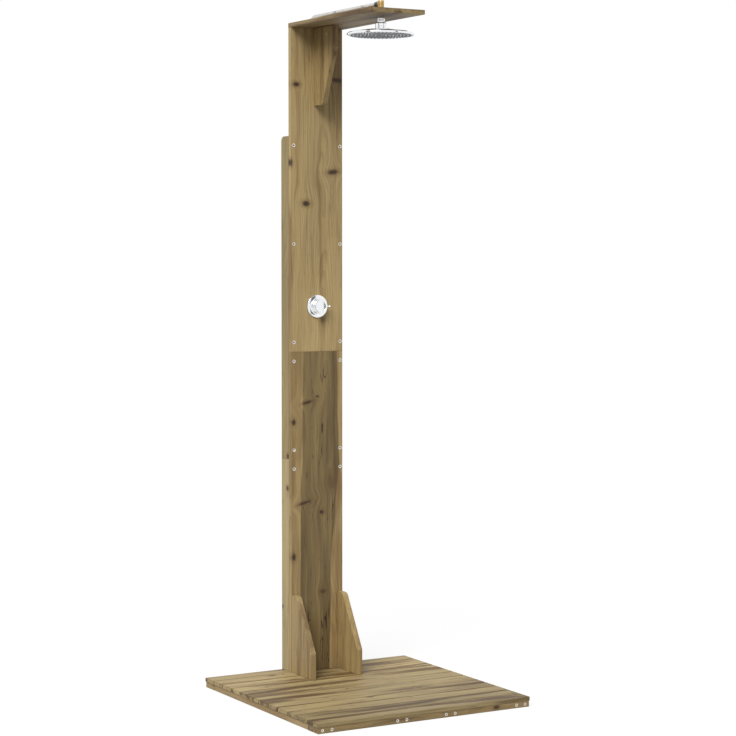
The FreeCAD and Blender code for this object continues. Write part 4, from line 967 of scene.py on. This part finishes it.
# ---------------------------------------------------------------- rain head
def arc_points(radius, start, end, steps):
    """Points (radius, height) round a ball, from one height to another."""
    first = math.asin(start / radius)
    last = math.asin(end / radius)
    return [(radius * math.cos(a), radius * math.sin(a)) for a in np.linspace(first, last, steps)]


def hang_head():
    """The stem with its ball, the collar nut, and the shell, face and nozzles, each turned about the head's axis."""
    stem = [(4, -9)] + arc_points(11, -9, 8.9, 24)
    stem = [corner for corner in stem if corner[0] > 6.49 or corner[1] < 0]     # the ball ends at its neck
    stem += [(6.5, 9.4), (6.5, 16.5), (12.5, 16.5, 0.5), (13.5, 17.5, 0.5), (13.5, 20, 0.3), (12.9, 20.6, 0.2),
             (12.9, 21.6, 0.2), (13.5, 22.2, 0.3), (13.5, 33, 0.3), (10.4, 33), (10.4, 19), (4, 19)]
    piece("swivel_stem", revolved(outline(*stem), ball_place, sides=96), CHROME, "root", ("ball_stem",))
    nut = outline((16.5, -8), (19, -8, 0.6), (19, -1.4, 0.2), (18.5, -1, 0.2), (18.5, 0.2, 0.2), (19, 0.6, 0.2),
                  (19, 9, 1.4), (16.8, 11.4, 2.0), (11.2, 12.6, 0.3), (11.2, 7.9), (13.77, 2.1), (16.5, 2.1))
    piece("swivel_nut", revolved(nut, ball_place, sides=96), CHROME, "shower_head", ("collar_nut",))
    shell = outline((16.4, 2), (16.4, -8.3, 1.5), (66, -13.6, 160), (109.3, -21, 3.2), (112.8, -24.5, 2.6),
                    (112.8, -30, 1.6), (108.1, -30, 0.4), (108.1, -26.5), (104.1, -26.5), (104.1, -23),
                    (66, -15.6, 60), (16.4, -11.1), (6.5, -11.1), (6.5, -9.1), (13.5, -9.1), (13.5, 2), steps=9)
    piece("head_dome", revolved(shell, ball_place, sides=160), CHROME, "shower_head", ("head_shell",),
          sharp=40)
    plate = outline((0, -29.5), (108, -29.5, 0.8), (108, -26.5), (0, -26.5))
    piece("head_face", together(revolved(plate, ball_place, sides=128), *nozzle_collars()), FACE_GREY, "shower_head",
          ("face_plate",))
    mat = outline((0, -26.5), (104, -26.5), (104, -24.5, 0.5), (0, -24.5))
    piece("head_nozzles", together(revolved(mat, ball_place, sides=96), *nozzle_tips()), SILICONE, "shower_head",
          ("nozzle_mat",))


NOZZLE_PITCH = 12.2


def nozzle_middles():
    """The centre and eight evenly spaced rings round it, with six more nozzles in each ring than in the last."""
    middles = [(0.0, 0.0)]
    for ring in range(1, 9):
        turn = np.arange(6 * ring) * (math.pi / (3 * ring)) + 0.5 * ring
        middles += list(zip(NOZZLE_PITCH * ring * np.cos(turn), NOZZLE_PITCH * ring * np.sin(turn)))
    return np.array(middles)


def repeated(section, sides=10):
    """The same small turned form at every nozzle's middle."""
    points, faces = revolved(section, (0, 0, 0), sides=sides)
    return [(points + np.array((x * MM, y * MM, 0)) + np.array(ball_place), faces) for x, y in nozzle_middles()]


def nozzle_collars():
    """A low raised ring round each nozzle, on the face."""
    return repeated(outline((1.9, -29.4), (3.0, -29.4), (2.7, -29.9), (2.1, -29.9)))


def nozzle_tips():
    """A tapered nozzle with a small pit at its end, from the mat out past the face."""
    return repeated(outline((0, -27), (1.9, -27), (1.85, -30), (1.35, -32), (0.8, -32), (0.6, -31.2), (0, -31.2)))


# ---------------------------------------------------------------- finishes of the CAD nodes that aren't boards
PLAIN_FINISHES = {
    BRASS: ("inlet_elbow", "roof_elbow", "valve_body", "union_nuts", "lock_nut", "valve_spindle"),
    ZINC: ("small_screws", "foot_screws", "rail_screws", "post_screws", "gusset_bolts", "gusset_barrel_nuts"),
    CLIP_GREY: ("pipe_clips", "cartridge"),
    CERAMIC: ("fixed_disc", "turning_disc"),
    RUBBER: ("roof_washer", "cover_seal"),
    DARK_STEEL: ("grub_screw", "arm_nut"),
    SEAT_WHITE: ("upper_seat_ring", "lower_seat_ring"),
    CHROME: ("cover_plate", "knob", "lever_pin", "ball_stem", "collar_nut", "head_shell"),
    PIPE_METAL: ("riser_pipe", "inlet_pipe"),
    FACE_GREY: ("face_plate",),
    SILICONE: ("nozzle_mat",),
}


# ---------------------------------------------------------------- floor, light and camera
FLOOR_REACH = 12.0


def direct_sight(tree):
    """1 for what the camera sees straight, in a mirror or through something clear, and 0 for what lights things."""
    path = tree.add("LightPath").outputs
    return tree.sum("MAXIMUM", path["Is Camera Ray"],
                    tree.sum("MAXIMUM", path["Is Glossy Ray"], path["Is Transmission Ray"]))


def sheet(name, corners, material):
    """A four-cornered sheet."""
    mesh = bpy.data.meshes.new(name)
    mesh.from_pydata(corners, [], [(0, 1, 2, 3)])
    mesh.materials.append(material)
    return new_object(name, mesh)


def lay_floor():
    """A white floor. What the camera and mirrors see is mostly plain white, and the rest keeps the shadow; what
    lights the object from below is a darker floor."""
    material = bpy.data.materials.new("studio_floor")
    tree = blank(material)
    bounce = tree.add("BsdfDiffuse", {"Color": (0.36, 0.36, 0.36, 1)}).outputs[0]
    shadow = tree.add("BsdfDiffuse", {"Color": (0.9, 0.9, 0.9, 1)}).outputs[0]
    white = tree.add("Emission", {"Color": (1, 1, 1, 1), "Strength": 1.0}).outputs[0]
    bright = tree.add("MixShader", {0: 0.8, 1: shadow, 2: white}).outputs[0]
    surface = tree.add("MixShader", {0: direct_sight(tree), 1: bounce, 2: bright}).outputs[0]
    tree.add("OutputMaterial", {"Surface": surface})
    corners = [(-FLOOR_REACH, -FLOOR_REACH, 0), (FLOOR_REACH, -FLOOR_REACH, 0), (FLOOR_REACH, FLOOR_REACH, 0),
               (-FLOOR_REACH, FLOOR_REACH, 0)]
    floor = sheet("studio_floor", corners, material)


def hang_card(name, place, target, width, height):
    """A dark card beside the camera that only shows in mirrors, so that the chrome has its grey bands."""
    material = bpy.data.materials.new(name)
    tree = blank(material)
    glow = tree.add("Emission", {"Color": (1, 1, 1, 1), "Strength": 0.12}).outputs[0]
    tree.add("OutputMaterial", {"Surface": glow})
    place = np.array(place)
    aside = np.cross(np.array(target) - place, (0, 0, 1))
    aside *= width / 2 / np.linalg.norm(aside)
    up = np.array((0, 0, height / 2))
    card = sheet(name, [place - aside - up, place + aside - up, place + aside + up, place - aside + up], material)
    card.visible_camera = False
    card.visible_diffuse = False
    card.visible_shadow = False
    card.visible_transmission = False


SUN_PLACE = (-5.2, -4.1, 6.2)  # the direction that its light comes from
SUN_WIDTH = 32                 # degrees
SUN_ENERGY = 2.9


def light_room():
    """A white room: seen white. Its light on the object is strongest from overhead and falls towards the floor, and
    a little stronger from the left. A broad sun stands at the upper left."""
    world = bpy.data.worlds.new("white_room")
    bpy.context.scene.world = world
    tree = blank(world)
    seen = direct_sight(tree)
    way = tree.add("SeparateXYZ", {0: tree.add("TexCoord").outputs["Generated"]}).outputs
    height = tree.ramp(way["Z"], -0.1, 0.9, 0.22, 0.72)
    aside = tree.ramp(way["X"], 0.9, -0.9, 0.85, 1.15)
    lit = tree.times(tree.less(1.0, seen), tree.times(height, aside))
    strength = tree.plus(tree.times(seen, 1.01), lit)
    room = tree.add("Background", {"Color": (1, 1, 1, 1), "Strength": strength})
    tree.add("OutputWorld", {"Surface": room.outputs[0]})
    light = bpy.data.lights.new("key", "SUN")
    light.angle = math.radians(SUN_WIDTH)
    light.energy = SUN_ENERGY
    sun = new_object("key", light)
    sun.location = SUN_PLACE
    sun.rotation_euler = (-Vector(SUN_PLACE)).to_track_quat("-Z", "Y").to_euler()


PHOTO_PIXELS = 736.0
FOCAL_PIXELS = 2079.68
RAISE_PIXELS = 30.0            # how far the picture stands above the lens's axis
CAMERA_PLACE = (-3.47072, -6.06338, 1.51417)
CAMERA_TO_RIGHT = 0.521785     # from +Y, radians
CAMERA_DOWN = 0.042668


def set_camera():
    """The photograph's camera, as fitted to the corners of the deck and the post."""
    lens = bpy.data.cameras.new("camera")
    lens.sensor_fit = "HORIZONTAL"
    lens.sensor_width = 36.0
    lens.lens = FOCAL_PIXELS / PHOTO_PIXELS * lens.sensor_width
    lens.shift_y = -RAISE_PIXELS / PHOTO_PIXELS
    lens.clip_start = 0.1
    lens.clip_end = 60.0
    camera = new_object("camera", lens)
    camera.location = CAMERA_PLACE
    camera.rotation_euler = (math.pi / 2 - CAMERA_DOWN, 0, -CAMERA_TO_RIGHT)
    bpy.context.scene.camera = camera


dress_boards()
for material, nodes in PLAIN_FINISHES.items():
    for node in nodes:
        dress(node, material)
fix_post()
fix_rails()
fix_gusset()
fix_underside()
run_pipes()
make_arm_nut()
fit_union_nuts()
fit_roof_elbow()
fit_inlet()
snap_clips()
cast_valve()
fit_valve()
hang_head()
lay_floor()
light_room()
hang_card("dark_card_left", (-3.9, -1.3, 1.6), (0, 0.3, 1.6), 1.1, 3.0)
hang_card("dark_card_right", (2.2, -5.2, 1.7), (0, 0.2, 1.7), 0.8, 3.2)
set_camera()
bpy.context.scene.view_settings.view_transform = "Standard"
